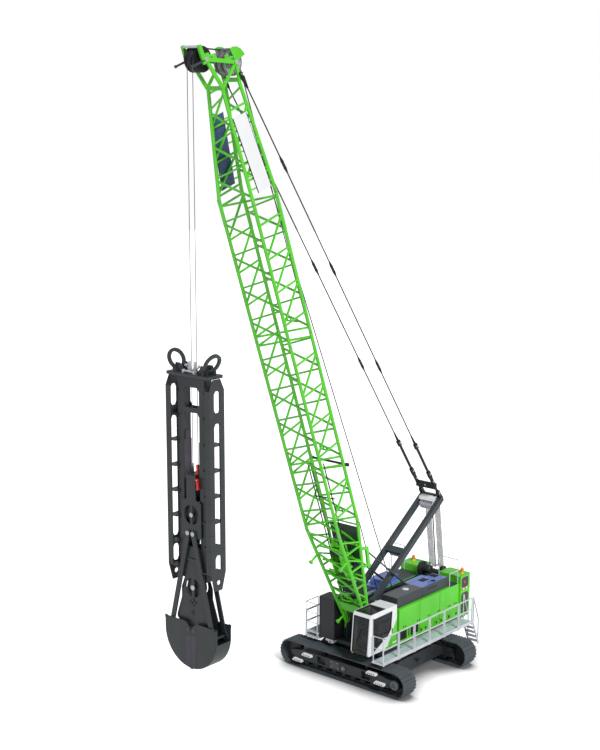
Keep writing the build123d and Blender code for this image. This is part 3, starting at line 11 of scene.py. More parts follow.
import bmesh
import bpy
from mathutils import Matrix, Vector


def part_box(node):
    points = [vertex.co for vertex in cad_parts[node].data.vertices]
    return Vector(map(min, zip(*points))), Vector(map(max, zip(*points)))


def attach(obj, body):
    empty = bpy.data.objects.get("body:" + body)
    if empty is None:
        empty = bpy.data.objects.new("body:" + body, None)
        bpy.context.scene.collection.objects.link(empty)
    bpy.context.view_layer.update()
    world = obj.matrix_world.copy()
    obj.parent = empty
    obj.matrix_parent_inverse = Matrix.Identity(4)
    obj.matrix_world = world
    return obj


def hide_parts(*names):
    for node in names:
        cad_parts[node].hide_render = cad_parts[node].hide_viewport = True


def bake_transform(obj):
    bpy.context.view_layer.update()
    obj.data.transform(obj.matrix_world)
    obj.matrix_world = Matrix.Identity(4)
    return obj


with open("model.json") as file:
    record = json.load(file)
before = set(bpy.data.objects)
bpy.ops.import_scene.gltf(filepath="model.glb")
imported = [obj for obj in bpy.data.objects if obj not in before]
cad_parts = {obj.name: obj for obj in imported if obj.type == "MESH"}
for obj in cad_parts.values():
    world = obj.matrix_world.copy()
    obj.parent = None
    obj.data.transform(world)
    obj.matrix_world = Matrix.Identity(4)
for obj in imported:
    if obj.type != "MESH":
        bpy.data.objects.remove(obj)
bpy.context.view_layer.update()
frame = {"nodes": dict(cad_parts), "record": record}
nodes = frame["nodes"]

# %% [markdown]
# ## The camera
# The photograph was taken from the cab's side, a little above the boom's middle, with a long
# lens. A camera is placed by its position, a turn about Z and a tilt. The lens length follows
# from how large the machine is in the frame.

# %% Camera
CAMERA_PLACE = (36.746, -47.781, 24.916)
CAMERA_TURN = 40.9
CAMERA_DOWN = 11.003
LENS = 67.996

camera_data = bpy.data.cameras.new("camera")
camera_data.lens = LENS
camera_data.sensor_width = 36
camera_data.clip_end = 600
camera = bpy.data.objects.new("camera", camera_data)
camera.location = CAMERA_PLACE
camera.rotation_euler = (math.radians(90 - CAMERA_DOWN), 0, math.radians(CAMERA_TURN))
bpy.context.scene.collection.objects.link(camera)
bpy.context.scene.camera = camera
print("camera at", CAMERA_PLACE)

# %% [markdown]
# ## Floor and light
# The machine stands on white, with a soft shadow close around the tracks. The floor is a
# diffuse sheet that also glows for the camera. Its white and its glow both fade where the machine
# is close over it: open ground reaches white, and only the shade near the tracks stays. A wide
# sun from the cab's side gives the boom its bright and dark faces.

# %% Floor, world and sun
FLOOR_HALF = 160
FLOOR_GLOW = 0.62
FLOOR_WHITE = 0.82
SHADE_REACH = 1.7
# Openness that counts as full shade and as open ground, and what full shade leaves of the light
SHADE_FULL, SHADE_NONE, SHADE_LEAVES = 0.42, 0.96, 0.12

floor_mesh = bpy.data.meshes.new("floor")
floor_mesh.from_pydata(
    [(-FLOOR_HALF, -FLOOR_HALF, 0), (FLOOR_HALF, -FLOOR_HALF, 0),
     (FLOOR_HALF, FLOOR_HALF, 0), (-FLOOR_HALF, FLOOR_HALF, 0)], [], [(0, 1, 2, 3)])
floor = bpy.data.objects.new("floor", floor_mesh)
bpy.context.scene.collection.objects.link(floor)


def new_material(name):
    """An empty node material with its output."""
    material = bpy.data.materials.new(name)
    material.use_nodes = True
    tree = material.node_tree
    tree.nodes.clear()
    return material, tree, node(tree, "OutputMaterial")


def node(tree, kind, inputs=(), **settings):
    """A shader node; inputs are (name, value) pairs, a value may be another node's output."""
    made = tree.nodes.new("ShaderNode" + kind)
    for key, value in inputs:
        if isinstance(value, bpy.types.NodeSocket):
            tree.links.new(value, made.inputs[key])
        else:
            made.inputs[key].default_value = value
    for key, value in settings.items():
        setattr(made, key, value)
    return made


def product(tree, first, second):
    """The output that multiplies two values."""
    return node(tree, "Math", ((0, first), (1, second)), operation="MULTIPLY").outputs[0]


floor_material, tree, output = new_material("floor_white")
nearness = node(tree, "AmbientOcclusion", (("Distance", SHADE_REACH),), samples=16)
shade = node(tree, "MapRange", (
    ("From Min", SHADE_FULL), ("From Max", SHADE_NONE), ("To Min", SHADE_LEAVES),
    ("Value", nearness.outputs["AO"]))).outputs["Result"]
camera_glow = product(tree, node(tree, "LightPath").outputs["Is Camera Ray"], FLOOR_GLOW)
glow = node(tree, "Emission", (("Color", (1, 1, 1, 1)), ("Strength", product(tree, shade, camera_glow))))
diffuse = node(tree, "BsdfDiffuse", (("Color", product(tree, shade, FLOOR_WHITE)),))
both = node(tree, "AddShader", ((0, diffuse.outputs[0]), (1, glow.outputs[0])))
tree.links.new(both.outputs[0], output.inputs["Surface"])
floor_mesh.materials.append(floor_material)

AMBIENT = 0.46
world = bpy.data.worlds.new("studio")
bpy.context.scene.world = world
world.use_nodes = True
tree = world.node_tree
tree.nodes.clear()
ambient = node(tree, "Background", (("Color", (0.97, 0.98, 1.0, 1)), ("Strength", AMBIENT)))
white = node(tree, "Background", (("Color", (1, 1, 1, 1)), ("Strength", 1.0)))
path = node(tree, "LightPath")
shown = node(
    tree, "Math", ((0, path.outputs["Is Camera Ray"]), (1, path.outputs["Is Transmission Ray"])),
    operation="ADD", use_clamp=True)
mix = node(tree, "MixShader", (("Fac", shown.outputs[0]), (1, ambient.outputs[0]), (2, white.outputs[0])))
node(tree, "OutputWorld", (("Surface", mix.outputs[0]),))

SUN_WAY = (-0.80, 0.30, -0.75)
SUN_POWER = 2.5
SUN_WIDTH = 14
sun_data = bpy.data.lights.new("sun", "SUN")
sun_data.energy = SUN_POWER
sun_data.angle = math.radians(SUN_WIDTH)
sun = bpy.data.objects.new("sun", sun_data)
sun.rotation_euler = Vector(SUN_WAY).to_track_quat("-Z", "Y").to_euler()
bpy.context.scene.collection.objects.link(sun)
bpy.context.scene.view_settings.view_transform = "Standard"
print("sun and world set")

# %% [markdown]
# ## Paints and metals
# Every coat here is one recipe: a base colour, broken up by a large soft noise for faded
# paint and by a small one for dust, a roughness that follows the dust, and a faint bump.
# The same recipe with other numbers gives galvanised steel, cast shoes or rubber.

# %% One recipe for coated surfaces


def coated(name, colour, rough=0.4, dirt=0.25, scale=1.2, metal=0.0, coat=0.0, bump=0.02):
    """A surface of one colour with soft fading, dust and a fine bump."""
    material, tree, output = new_material(name)
    place = node(tree, "TexCoord").outputs["Object"]
    broad = node(tree, "TexNoise", (("Scale", scale), ("Detail", 5), ("Vector", place))).outputs["Fac"]
    fine = node(tree, "TexNoise", (("Scale", scale * 22), ("Detail", 3), ("Vector", place))).outputs["Fac"]
    ramp = node(tree, "ValToRGB", (("Fac", broad),))
    darker = [channel * (1 - dirt) for channel in colour]
    for element, position, shade in zip(ramp.color_ramp.elements, (0.32, 0.72), (darker, colour)):
        element.position = position
        element.color = (*shade, 1)
    spread = node(tree, "MapRange", (
        ("To Min", max(rough - 0.1, 0.03)), ("To Max", min(rough + 0.14, 1)), ("Value", fine)))
    relief = node(tree, "Bump", (("Strength", bump * 10), ("Distance", 0.002), ("Height", fine)))
    surface = node(tree, "BsdfPrincipled", (
        ("Metallic", metal), ("Coat Weight", coat), ("Base Color", ramp.outputs["Color"]),
        ("Roughness", spread.outputs["Result"]), ("Normal", relief.outputs["Normal"])))
    tree.links.new(surface.outputs[0], output.inputs["Surface"])
    return material


def glazing(name, tint, clear):
    """Tinted glass that lets part of the view through."""
    material, tree, output = new_material(name)
    place = node(tree, "TexCoord").outputs["Object"]
    haze = node(tree, "TexNoise", (("Scale", 3), ("Vector", place)))
    ramp = node(tree, "ValToRGB", (("Fac", haze.outputs["Fac"]),))
    ramp.color_ramp.elements[0].color = (*tint, 1)
    ramp.color_ramp.elements[1].color = (*[1.35 * channel for channel in tint], 1)
    surface = node(tree, "BsdfPrincipled", (
        ("Roughness", 0.06), ("Alpha", 1 - clear), ("Base Color", ramp.outputs["Color"])))
    tree.links.new(surface.outputs[0], output.inputs["Surface"])
    return material


# Colour, roughness, dirt, noise scale, metal, clear coat and bump of each slot
COATS = {
    "undercarriage_grey": ((0.028, 0.033, 0.037), 0.42, 0.3),
    "track_steel": ((0.070, 0.088, 0.098), 0.50, 0.25, 3.0, 0.1, 0.0, 0.01),
    "bare_steel": ((0.24, 0.24, 0.255), 0.35, 0.2, 2.0, 0.6, 0.0, 0.005),
    "white_paint": ((0.82, 0.83, 0.84), 0.28, 0.05, 1.0, 0.0, 0.3, 0.005),
    "dark_frame": ((0.036, 0.050, 0.058), 0.36, 0.3, 1.0, 0.0, 0.2),
    "dark_hood": ((0.050, 0.056, 0.068), 0.45, 0.2, 1.0),
    "lime_green": ((0.115, 0.69, 0.020), 0.30, 0.18, 0.8, 0.0, 0.35, 0.008),
    "galvanised": ((0.70, 0.71, 0.78), 0.38, 0.15, 4.0, 0.2),
    "seat_fabric": ((0.15, 0.155, 0.165), 0.8, 0.2, 6.0),
    "rope_steel": ((0.045, 0.045, 0.048), 0.45, 0.3, 8.0, 0.5),
    "sheave_black": ((0.007, 0.007, 0.009), 0.5, 0.2, 3.0, 0.0, 0.0, 0.005),
    "grab_charcoal": ((0.030, 0.037, 0.040), 0.40, 0.28, 0.9, 0.0, 0.15),
}
PAINTS = {name: coated(name, *recipe) for name, recipe in COATS.items()}
PAINTS["cab_glazing"] = glazing("cab_glazing", (0.012, 0.016, 0.018), 0.42)
for entry in frame["record"]["subparts"]:
    surface = nodes[entry["node"]]
    surface.data.materials.clear()
    surface.data.materials.append(PAINTS[entry["material_slot"]])
for name, finish in (
        ("front_box", coated("box_anthracite", (0.018, 0.020, 0.025), 0.45, 0.2, 1.0)),
        ("hoist_ropes", coated("rope_light", (0.16, 0.16, 0.17), 0.5, 0.2, 8.0, 0.4))):
    nodes[name].material_slots[0].material = finish

# %% [markdown]
# ## Finishes of small pieces
# Trim, lamps, gratings and wear strips have colours of their own. They use the same recipe, so
# that a lamp glass and a paint coat answer the light in one family of ways.

# %% Small extra finishes
# Black for trim, gaskets and joints; also painted shade where holes, slots, openings and notches are drawn
# as flat black
BLACK = coated("black_trim_and_hole_shade", (0.012, 0.012, 0.014), 0.5, 0.2, 3.0)
GRIT = coated("grit_sheet", (0.16, 0.165, 0.175), 0.85, 0.4, 30.0)
# Blue base colour under a gloss coat: a painted reflection of the sky, for the roof covers
PAINTED_SKY_REFLECTION = coated("roof_painted_sky_reflection", (0.15, 0.25, 0.68), 0.16, 0.15, 0.7, 0.1, 0.6, 0.004)
BOARD_BLUE = coated("board_back_blue", (0.060, 0.10, 0.25), 0.4, 0.12, 1.0)
RED = coated("signal_red", (0.72, 0.015, 0.012), 0.3, 0.15, 3.0, 0.0, 0.4)
AMBER = coated("beacon_amber", (0.95, 0.20, 0.01), 0.25, 0.1, 8.0, 0.0, 0.5)
YELLOW = coated("beacon_yellow", (0.95, 0.62, 0.02), 0.4, 0.1, 8.0)
SILVER = coated("silver_steel", (0.60, 0.61, 0.65), 0.30, 0.15, 4.0, 0.5, 0.0, 0.004)
PALE = coated("pale_plate", (0.66, 0.66, 0.71), 0.4, 0.15, 3.0, 0.1)
MAUVE = coated("wear_strip", (0.065, 0.052, 0.075), 0.42, 0.3, 2.0)
GRATING = coated("grating_steel", (0.46, 0.60, 0.56), 0.45, 0.25, 5.0, 0.2)
ROPE_GREY = coated("rope_grey", (0.25, 0.25, 0.27), 0.5, 0.3, 9.0, 0.4)
ENGINE = coated("engine_black", (0.018, 0.020, 0.024), 0.45, 0.4, 2.0, 0.1)
print("extra finishes ready")

# %% [markdown]
# ## A kit for solid pieces
# Steelwork is boxes, bars, beams, plates and turned parts. We gather many of them in one mesh
# per piece, so that a grating or a set of bolts is a single object, and a bevel can catch the
# light along its edges. Blender turns the faces outward at the end, so outlines run either way.

# %% Solid kit
CRISP_ANGLE = 38


class Steelwork:
    """Gathers boxes, bars, plates and turned parts in one mesh."""

    def __init__(self):
        self.mesh = bmesh.new()

    def skin(self, layers):
        """A closed solid through outlines of as many points."""
        rows = [[self.mesh.verts.new(point) for point in layer] for layer in layers]
        count = len(rows[0])
        self.mesh.faces.new(rows[0][::-1])
        self.mesh.faces.new(rows[-1])
        for lower, upper in zip(rows, rows[1:]):
            for index in range(count):
                after = (index + 1) % count
                self.mesh.faces.new((lower[index], lower[after], upper[after], upper[index]))

    def box(self, low, high):
        """A box between two opposite corners, in any order."""
        (x0, x1), (y0, y1), levels = [sorted(pair) for pair in zip(low, high)]
        base = [(x0, y0), (x1, y0), (x1, y1), (x0, y1)]
        self.skin([[(*point, z) for point in base] for z in levels])

    def bar(self, start, end, radius, sides=10, end_radius=None):
        """A round bar, or a cone where the end's radius is given."""
        start, end = Vector(start), Vector(end)
        turn = (end - start).to_track_quat("Z", "Y")
        ring = [
            turn @ Vector((math.cos(angle), math.sin(angle), 0))
            for angle in (2 * math.pi * index / sides for index in range(sides))]
        last = radius if end_radius is None else end_radius
        self.skin([[start + radius * point for point in ring], [end + last * point for point in ring]])

    def turned(self, rings, axis, centre, sides=20, way=1):
        """A turned part about a main axis; rings are (along, radius) pairs, way turns it round."""
        layers = []
        for along, radius in rings:
            layer = []
            for index in range(sides):
                angle = 2 * math.pi * index / sides
                place = [radius * math.cos(angle), radius * math.sin(angle)]
                place.insert(axis, way * along)
                layer.append(Vector(place) + Vector(centre))
            layers.append(layer)
        self.skin(layers)

    def beam(self, start, end, width, depth):
        """A rectangular bar whose width lies along X where it can."""
        start, end = Vector(start), Vector(end)
        run = (end - start).normalized()
        side = Vector((1, 0, 0)) if abs(run.x) < 0.9 else Vector((0, 1, 0))
        side = (side - run * side.dot(run)).normalized()
        other = run.cross(side)
        corners = [
            side * (a * width / 2) + other * (b * depth / 2)
            for a, b in ((-1, -1), (1, -1), (1, 1), (-1, 1))]
        self.skin([[start + corner for corner in corners], [end + corner for corner in corners]])

    def plate(self, outline, axis, low, high):
        """A plate square to an axis; the outline gives the other two coordinates."""
        layers = []
        for value in (low, high):
            layer = []
            for point in outline:
                place = list(point)
                place.insert(axis, value)
                layer.append(place)
            layers.append(layer)
        self.skin(layers)

    def rail(self, points, radius, sides=8):
        """Round bar through several points."""
        for start, end in zip(points, points[1:]):
            self.bar(start, end, radius, sides)

    def frame(self, points, width, depth):
        """Beams round a closed outline, such as a gasket."""
        for start, end in zip(points, [*points[1:], points[0]]):
            self.beam(start, end, width, depth)


def mesh_object(mesh, name, material):
    """Gathered faces as a smooth object of the scene."""
    data = bpy.data.meshes.new(name)
    mesh.to_mesh(data)
    mesh.free()
    data.materials.append(material)
    data.shade_smooth()
    made = bpy.data.objects.new(name, data)
    bpy.context.scene.collection.objects.link(made)
    return made


def finish_mesh(solid, name, material, bevel):
    """Steelwork as an object with crisp edges, bevelled where a width is given."""
    bmesh.ops.recalc_face_normals(solid.mesh, faces=solid.mesh.faces)
    made = mesh_object(solid.mesh, name, material)
    made.data.set_sharp_from_angle(angle=math.radians(CRISP_ANGLE))
    if bevel:
        edge = made.modifiers.new("edge", "BEVEL")
        edge.width = bevel
        edge.segments = 2
        edge.limit_method = "ANGLE"
    return made


def piece(solid, name, body, finish, bevel=0.0):
    """Turn gathered steelwork into an object that rides on a body.

    The finish is the name of a slot, or a material of this script.
    """
    slotted = isinstance(finish, str)
    made = finish_mesh(solid, name, PAINTS[finish] if slotted else finish, bevel)
    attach(made, body)
    print(name, "rides on", body, "with", len(made.data.polygons), "faces")


def span_piece(solid, name, bodies, ends, material):
    """Turn straight runs between two hinged bodies into one piece fixed in the machine's frame."""
    made = finish_mesh(solid, name, material, 0.0)
    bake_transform(made)
    print(name, "spans", bodies)


# %% [markdown]
# ## Track shoes, links and rollers
# A crawler track is a steel chain with flat shoes bolted on it. Below the side frame the links
# and the flanged rollers show as a row of dark lumps. The shoes are in the frame already, so we
# only add one link plate for each shoe of both runs and a bolted cap on each roller.

# %% Links and roller caps
TRACK_CENTRES = (-2.265, 2.265)
LINK_PITCH = 0.2957
LINK_HALF_RUN = 2.8
ROLLER_PITCH = 0.53
ROLLER_Z = 0.24
# Lower and upper z of the chain's two runs
CHAIN_RUNS = ((0.085, 0.185), (1.0, 1.09))

links = Steelwork()
caps = Steelwork()
for centre in TRACK_CENTRES:
    for side in (-1, 1):
        face = centre + side * 0.112
        for index in range(19):
            x = -LINK_HALF_RUN + index * LINK_PITCH
            for low, high in CHAIN_RUNS:
                links.box((x, face, low), (x + 0.2, face + side * 0.03, high))
        y = centre + side * 0.19
        for index in range(9):
            x = (index - 4) * ROLLER_PITCH
            caps.bar((x, y, ROLLER_Z), (x, y + side * 0.035, ROLLER_Z), 0.07, 14, 0.055)
            caps.bar((x, y + side * 0.035, ROLLER_Z), (x, y + side * 0.055, ROLLER_Z), 0.025, 6)
piece(links, "chain_links", "undercarriage", "undercarriage_grey", 0.006)
piece(caps, "roller_caps", "undercarriage", "track_steel", 0.004)

# %% [markdown]
# ## Track frame details
# On its outer face the frame has a cover plate, a boss with a ring of bolts, the round final
# drive cover with its own bolts, and four white steps with gripping teeth. Small bolts are
# short six-sided bars: at this scale the light on the flats is what makes them read as bolts.

# %% Frame covers and bolts
FRAME_FACES = ((-2.615, -1), (2.615, 1))
BOSS = (0.12, 0.59)
DRIVE = (2.91, 0.59)


def bolt_ring(solid, centre, face, out, radius, count, bolt):
    """A ring of bolts on a face of constant Y."""
    for index in range(count):
        angle = 2 * math.pi * index / count
        x = centre[0] + radius * math.cos(angle)
        z = centre[1] + radius * math.sin(angle)
        solid.bar((x, face, z), (x, face + out, z), bolt, 6)


covers = Steelwork()
bolts = Steelwork()
for face, out in FRAME_FACES:
    covers.plate(
        [(-0.62, 0.45), (-0.12, 0.45), (-0.12, 0.74), (-0.18, 0.78), (-0.62, 0.78)], 1,
        face - out * 0.01, face + out * 0.012)
    covers.turned(
        [(0.0, 0.215), (0.02, 0.215), (0.035, 0.19), (0.035, 0.09), (0.05, 0.08)], 1,
        (DRIVE[0], face + out * 0.028, DRIVE[1]), 28, out)
    for x, z in ((-0.57, 0.5), (-0.17, 0.5), (-0.57, 0.73), (-0.22, 0.73)):
        bolts.bar((x, face, z), (x, face + out * 0.03, z), 0.018, 6)
    bolt_ring(bolts, BOSS, face, out * 0.04, 0.09, 8, 0.017)
    bolts.bar((BOSS[0], face, BOSS[1]), (BOSS[0], face + out * 0.05, BOSS[1]), 0.035, 12)
    bolt_ring(bolts, DRIVE, face, out * 0.075, 0.15, 12, 0.014)
piece(covers, "frame_covers", "undercarriage", "track_steel", 0.004)
piece(bolts, "frame_bolts", "undercarriage", SILVER)

# %% Grip steps
# x and lower z of each white step
STEPS = ((-2.415, 0.29), (-1.88, 0.64), (1.75, 0.785), (2.18, 0.44))
STEP_HALF = 0.24
STEP_TOP = 0.11

teeth = Steelwork()
# Black patches on each step's front stand for its slots: painted shade in the openings
step_slot_shade = Steelwork()
for face, out in FRAME_FACES:
    for x, z in STEPS:
        top = z + STEP_TOP
        for row in (0.035, 0.075, 0.12):
            for index in range(7):
                start = x - STEP_HALF + 0.02 + index * 0.066
                teeth.box(
                    (start, face + out * (row - 0.01), top - 0.002),
                    (start + 0.035, face + out * (row + 0.01), top + 0.016))
        for index in range(4):
            start = x - STEP_HALF + 0.05 + index * 0.105
            step_slot_shade.box(
                (start, face + out * 0.149, z + 0.03), (start + 0.06, face + out * 0.152, z + 0.07))
        for end in (x - STEP_HALF - 0.03, x + STEP_HALF - 0.01):
            teeth.box((end, face + out * 0.02, z + 0.02), (end + 0.04, face + out * 0.17, z + 0.06))
piece(teeth, "step_teeth", "undercarriage", "white_paint", 0.003)
piece(step_slot_shade, "step_slots_painted_shade", "undercarriage", BLACK)

# %% [markdown]
# ## Under the upper works
# Between the tracks the photograph shows dark castings, ribs and hoses. A row of ribs and a
# ring of large bolts under the slewing ring give the shadowed middle its depth.

# %% Ribs and ring bolts
ribs = Steelwork()
for side in (-1, 1):
    for x in (-1.95, -1.55, 1.55, 1.95):
        ribs.plate(
            [(side * 1.16, 0.48), (side * 1.85, 0.48), (side * 1.85, 0.70), (side * 1.16, 0.98)], 0,
            x - 0.43 * (1 if x > 0 else -1), x - 0.40 * (1 if x > 0 else -1))
for index in range(40):
    angle = 2 * math.pi * index / 40
    x, y = 1.0 * math.cos(angle), 1.0 * math.sin(angle)
    ribs.bar((x, y, 1.255), (x, y, 1.31), 0.024, 6)
piece(ribs, "carbody_ribs", "undercarriage", "undercarriage_grey", 0.004)

hoses = Steelwork()
for x in (-0.5, -0.1, 0.35, 0.8):
    hoses.rail([(x, -1.8, 1.3), (x + 0.1, -1.68, 1.225), (x + 0.15, -1.3, 1.225)], 0.028)
    hoses.rail([(x + 0.3, 1.78, 1.3), (x + 0.35, 1.65, 1.225), (x + 0.3, 1.3, 1.225)], 0.028)
piece(hoses, "deck_hoses", "superstructure", BLACK)

# %% [markdown]
# ## Walkways
# Both walkways are galvanised: an edge beam, short brackets under it, and open grating. Real
# grating is bearing bars crossed by twisted rods. We lay both on the frame's slab a few
# millimetres proud, so that light from the side draws the pattern without any image.

# %% Grating, edge beams and brackets
WALK_TOP = 1.42
WALK_REAR = 3.95
BAYS = 6
GRATE_PITCH = 0.055
ROD_PITCH = 0.16


def grate(solid, low, high, top):
    """Grating between two (x, y) corners: bars along Y, rods across them."""
    for index in range(int((high[0] - low[0]) / GRATE_PITCH) + 1):
        x = low[0] + index * GRATE_PITCH
        solid.box((x, low[1], top - 0.002), (x + 0.008, high[1], top + 0.012))
    for index in range(int((high[1] - low[1]) / ROD_PITCH) + 1):
        y = low[1] + index * ROD_PITCH
        solid.box((low[0], y, top - 0.002), (high[0], y + 0.014, top + 0.009))


gratings = Steelwork()
edges = Steelwork()
for side, front in ((1, -2.77), (-1, -2.2)):
    inner, outer = (1.83, 2.37) if side > 0 else (-2.37, -1.68)
    grate(gratings, (inner, front + 0.03), (outer, 3.93), WALK_TOP)
    edges.box((side * 2.385, front, WALK_TOP - 0.075), (side * 2.408, WALK_REAR, WALK_TOP + 0.07))
    pitch = (WALK_REAR - front) / BAYS
    for bay in range(BAYS):
        for y in (front + bay * pitch + 0.05, front + (bay + 1) * pitch - 0.05):
            edges.box(
                (side * 2.39, y - 0.035, WALK_TOP - 0.09), (side * 2.425, y + 0.035, WALK_TOP + 0.10))
        y = front + (bay + 0.5) * pitch
        if y > -0.5:
            edges.plate(
                [(side * 1.66, WALK_TOP - 0.23), (side * 2.36, WALK_TOP - 0.12),
                 (side * 2.36, WALK_TOP - 0.06), (side * 1.66, WALK_TOP - 0.06)], 1, y - 0.02, y + 0.02)
piece(gratings, "walkway_gratings", "superstructure", GRATING)
piece(edges, "walkway_edges", "superstructure", "galvanised", 0.003)

# %% [markdown]
# ## More hand rails
# The frame's rails follow the walkways. The photograph also shows a tall guard round the front
# platform on the far side, one ahead of the cab, and rails on the roofs of both houses. They are
# bent tubes, so we join straight round bars at each bend.

# %% Platform guard and roof rails
TUBE = 0.02


def guard(solid, corners, height, drops, posts):
    """A top rail round (x, y) corners, knee rails below it, and posts down to (x, y, foot)."""
    solid.rail([(x, y, height) for x, y in corners], TUBE)
    for drop in drops:
        solid.rail([(x, y, height - drop) for x, y in corners], TUBE * 0.8)
    for x, y, foot in posts:
        solid.bar((x, y, height), (x, y, foot), TUBE, 8)


DECK = 1.45
ROOF = 3.1
PLATFORM = ((-2.39, -1.35), (-2.39, -2.19), (-1.74, -2.19))
GUARDS = (
    (PLATFORM, 2.96, (0.44, 0.9), [(*corner, DECK) for corner in PLATFORM]),
    (((0.55, 3.84), (1.6, 3.84)), 4.24, (), ((0.55, 3.84, ROOF), (1.6, 3.84, ROOF))),
    (((1.6, 3.2), (1.6, 3.84)), 3.72, (), ((1.6, 3.2, ROOF),)),
    (((-2.3, 3.84), (-1.45, 3.84)), 4.28, (0.4,),
     ((-2.3, 3.84, DECK), (-1.45, 3.84, ROOF), (-2.2, 3.84, DECK))),
    (((1.86, -2.745), (2.38, -2.745)), 2.57, (0.52,),
     ((1.86, -2.745, WALK_TOP), (2.38, -2.745, WALK_TOP))),
    (((-1.6, -0.55), (-1.6, 0.6)), 3.75, (0.3,), ((-1.6, -0.55, ROOF), (-1.6, 0.6, ROOF))))
rails = Steelwork()
for corners, height, drops, posts in GUARDS:
    guard(rails, corners, height, drops, posts)
piece(rails, "guard_rails", "superstructure", "galvanised")

platform = Steelwork()
platform.box((-2.38, -2.18, 1.57), (-1.68, -1.0, 1.61))
for y in (-2.12, -1.1):
    for x in (-2.3, -1.76):
        platform.box((x, y, WALK_TOP), (x + 0.04, y + 0.04, 1.57))
piece(platform, "front_platform", "superstructure", PALE, 0.004)
platform_grate = Steelwork()
grate(platform_grate, (-2.36, -2.16), (-1.7, -1.02), 1.61)
piece(platform_grate, "front_platform_grate", "superstructure", GRATING)

# %% [markdown]
# ## Ladder treads
# Each tread is a folded strip with a raised grip edge. Two thin upstands and a row of studs on
# the frame's flat tread are enough from where we look.

# %% Ladder grips
LADDER_X = (1.82, 2.38)
LADDER_Y = (4.01, 0.5)
LADDER_Z = (1.39, 0.2)
TREADS = 5
grips = Steelwork()
for index in range(TREADS):
    part = (index + 0.5) / TREADS
    y = LADDER_Y[0] + part * LADDER_Y[1]
    z = LADDER_Z[0] + part * (LADDER_Z[1] - LADDER_Z[0])
    for offset in (-0.09, 0.082):
        grips.box(
            (LADDER_X[0] + 0.02, y + offset, z + 0.01),
            (LADDER_X[1] - 0.02, y + offset + 0.008, z + 0.03))
    for step in range(9):
        x = LADDER_X[0] + 0.07 + step * 0.052
        grips.bar((x, y, z + 0.012), (x, y, z + 0.024), 0.012, 6)
piece(grips, "ladder_grips", "superstructure", "galvanised")

# %% [markdown]
# ## Panels of the engine house
# The green side is made of lift-off covers. What shows from a step away is the joint between
# covers, the row of latches at knee height, the black air grilles and a row of round openings.
# Thin dark boxes on the face give the joints; a grille is a field of short slanted slats; each
# round opening is a black disc, painted shade.

# %% House side: joints, latches, grilles and openings
house_low, house_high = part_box("left_house")
SIDE_X = house_high.x
SKIRT_TOP = 2.12
JOINTS_Y = (0.87, 2.39)
LATCHES_Y = (-0.28, 0.76, 1.56, 2.31, 3.12, 3.6)
OPENINGS_Y = (0.99, 1.32, 2.16, 2.51, 3.13, 3.69)
OPENINGS_Z = 1.72

joints = Steelwork()
for y in JOINTS_Y:
    joints.box(
        (SIDE_X - 0.004, y - 0.009, house_low.z + 0.02), (SIDE_X + 0.002, y + 0.009, house_high.z - 0.01))
joints.box(
    (SIDE_X - 0.004, house_low.y + 0.02, SKIRT_TOP - 0.006),
    (SIDE_X + 0.002, house_high.y - 0.02, SKIRT_TOP + 0.006))
piece(joints, "house_joints", "superstructure", BLACK)

latches = Steelwork()
# Places y, height, how far each knob or opening stands out, radius and sides
rounds = [(y + offset, SKIRT_TOP + 0.11, 0.02, 0.03, 12) for y in LATCHES_Y for offset in (-0.07, 0.07)]
# Each round opening is a black disc a few millimetres proud: painted shade
rounds += [(y, OPENINGS_Z, 0.006, 0.062, 20) for y in OPENINGS_Y]
rounds.append((-0.52, OPENINGS_Z, 0.006, 0.05, 20))
for y, z, out, radius, count in rounds:
    latches.bar((SIDE_X - 0.005, y, z), (SIDE_X + out, y, z), radius, count)
piece(latches, "house_latches_and_opening_shade", "superstructure", BLACK)

# y from, y to, z from, z to of each grille
GRILLES = (
    (-0.60, -0.10, 1.66, 2.06), (0.03, 0.09, 1.68, 2.06),
    (0.19, 0.37, 1.68, 2.06), (0.50, 0.76, 1.70, 2.06))
grilles = Steelwork()
for y0, y1, z0, z1 in GRILLES:
    grilles.box((SIDE_X - 0.01, y0, z0), (SIDE_X + 0.003, y1, z1))
    rows = round((z1 - z0) / 0.05)
    for row in range(rows):
        z = z0 + (row + 0.5) * (z1 - z0) / rows
        grilles.beam((SIDE_X + 0.008, y0, z), (SIDE_X + 0.008, y1, z), 0.012, 0.018)
piece(grilles, "house_grilles", "superstructure", BLACK)

# %% [markdown]
# ## The roof
# A dark hood runs along the engine house: its front part carries grit for a safe step and an oval
# cap, its rear part is smooth, and the sky it mirrors is painted into it as a blue base colour under
# a gloss coat. The far house has the same covers with the same painted sky. They are thin plates
# laid on the solids, each cut with dark hatches.

# %% Hood top, covers with a painted sky reflection, and hatches
hood_low, hood_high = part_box("house_hood")
far_low, far_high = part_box("right_house")
GRIT_END = 1.24

grit = Steelwork()
grit.box(
    (hood_low.x + 0.03, hood_low.y + 0.03, hood_high.z - 0.004),
    (hood_high.x - 0.03, GRIT_END, hood_high.z + 0.004))
piece(grit, "hood_grit", "superstructure", GRIT)
cap = Steelwork()
cap.turned([(0, 0.15), (0.02, 0.15), (0.032, 0.13)], 2, (1.02, 0.62, hood_high.z), 28)
piece(cap, "hood_cap", "superstructure", "white_paint", 0.006)

sheets = Steelwork()
SHEET = 0.005
for x0, y0, x1, y1 in (
        (far_low.x + 0.02, -0.63, far_high.x - 0.02, 3.88), (0.58, -0.63, hood_low.x, 3.88),
        (hood_low.x, hood_high.y, house_high.x - 0.02, 3.88)):
    sheets.box((x0, y0, far_high.z - SHEET), (x1, y1, far_high.z + SHEET))
for x in (far_high.x, house_low.x):
    sheets.box((x - SHEET, -0.6, 1.55), (x + SHEET, 3.86, 3.07))
piece(sheets, "roof_sheets", "superstructure", "dark_hood")
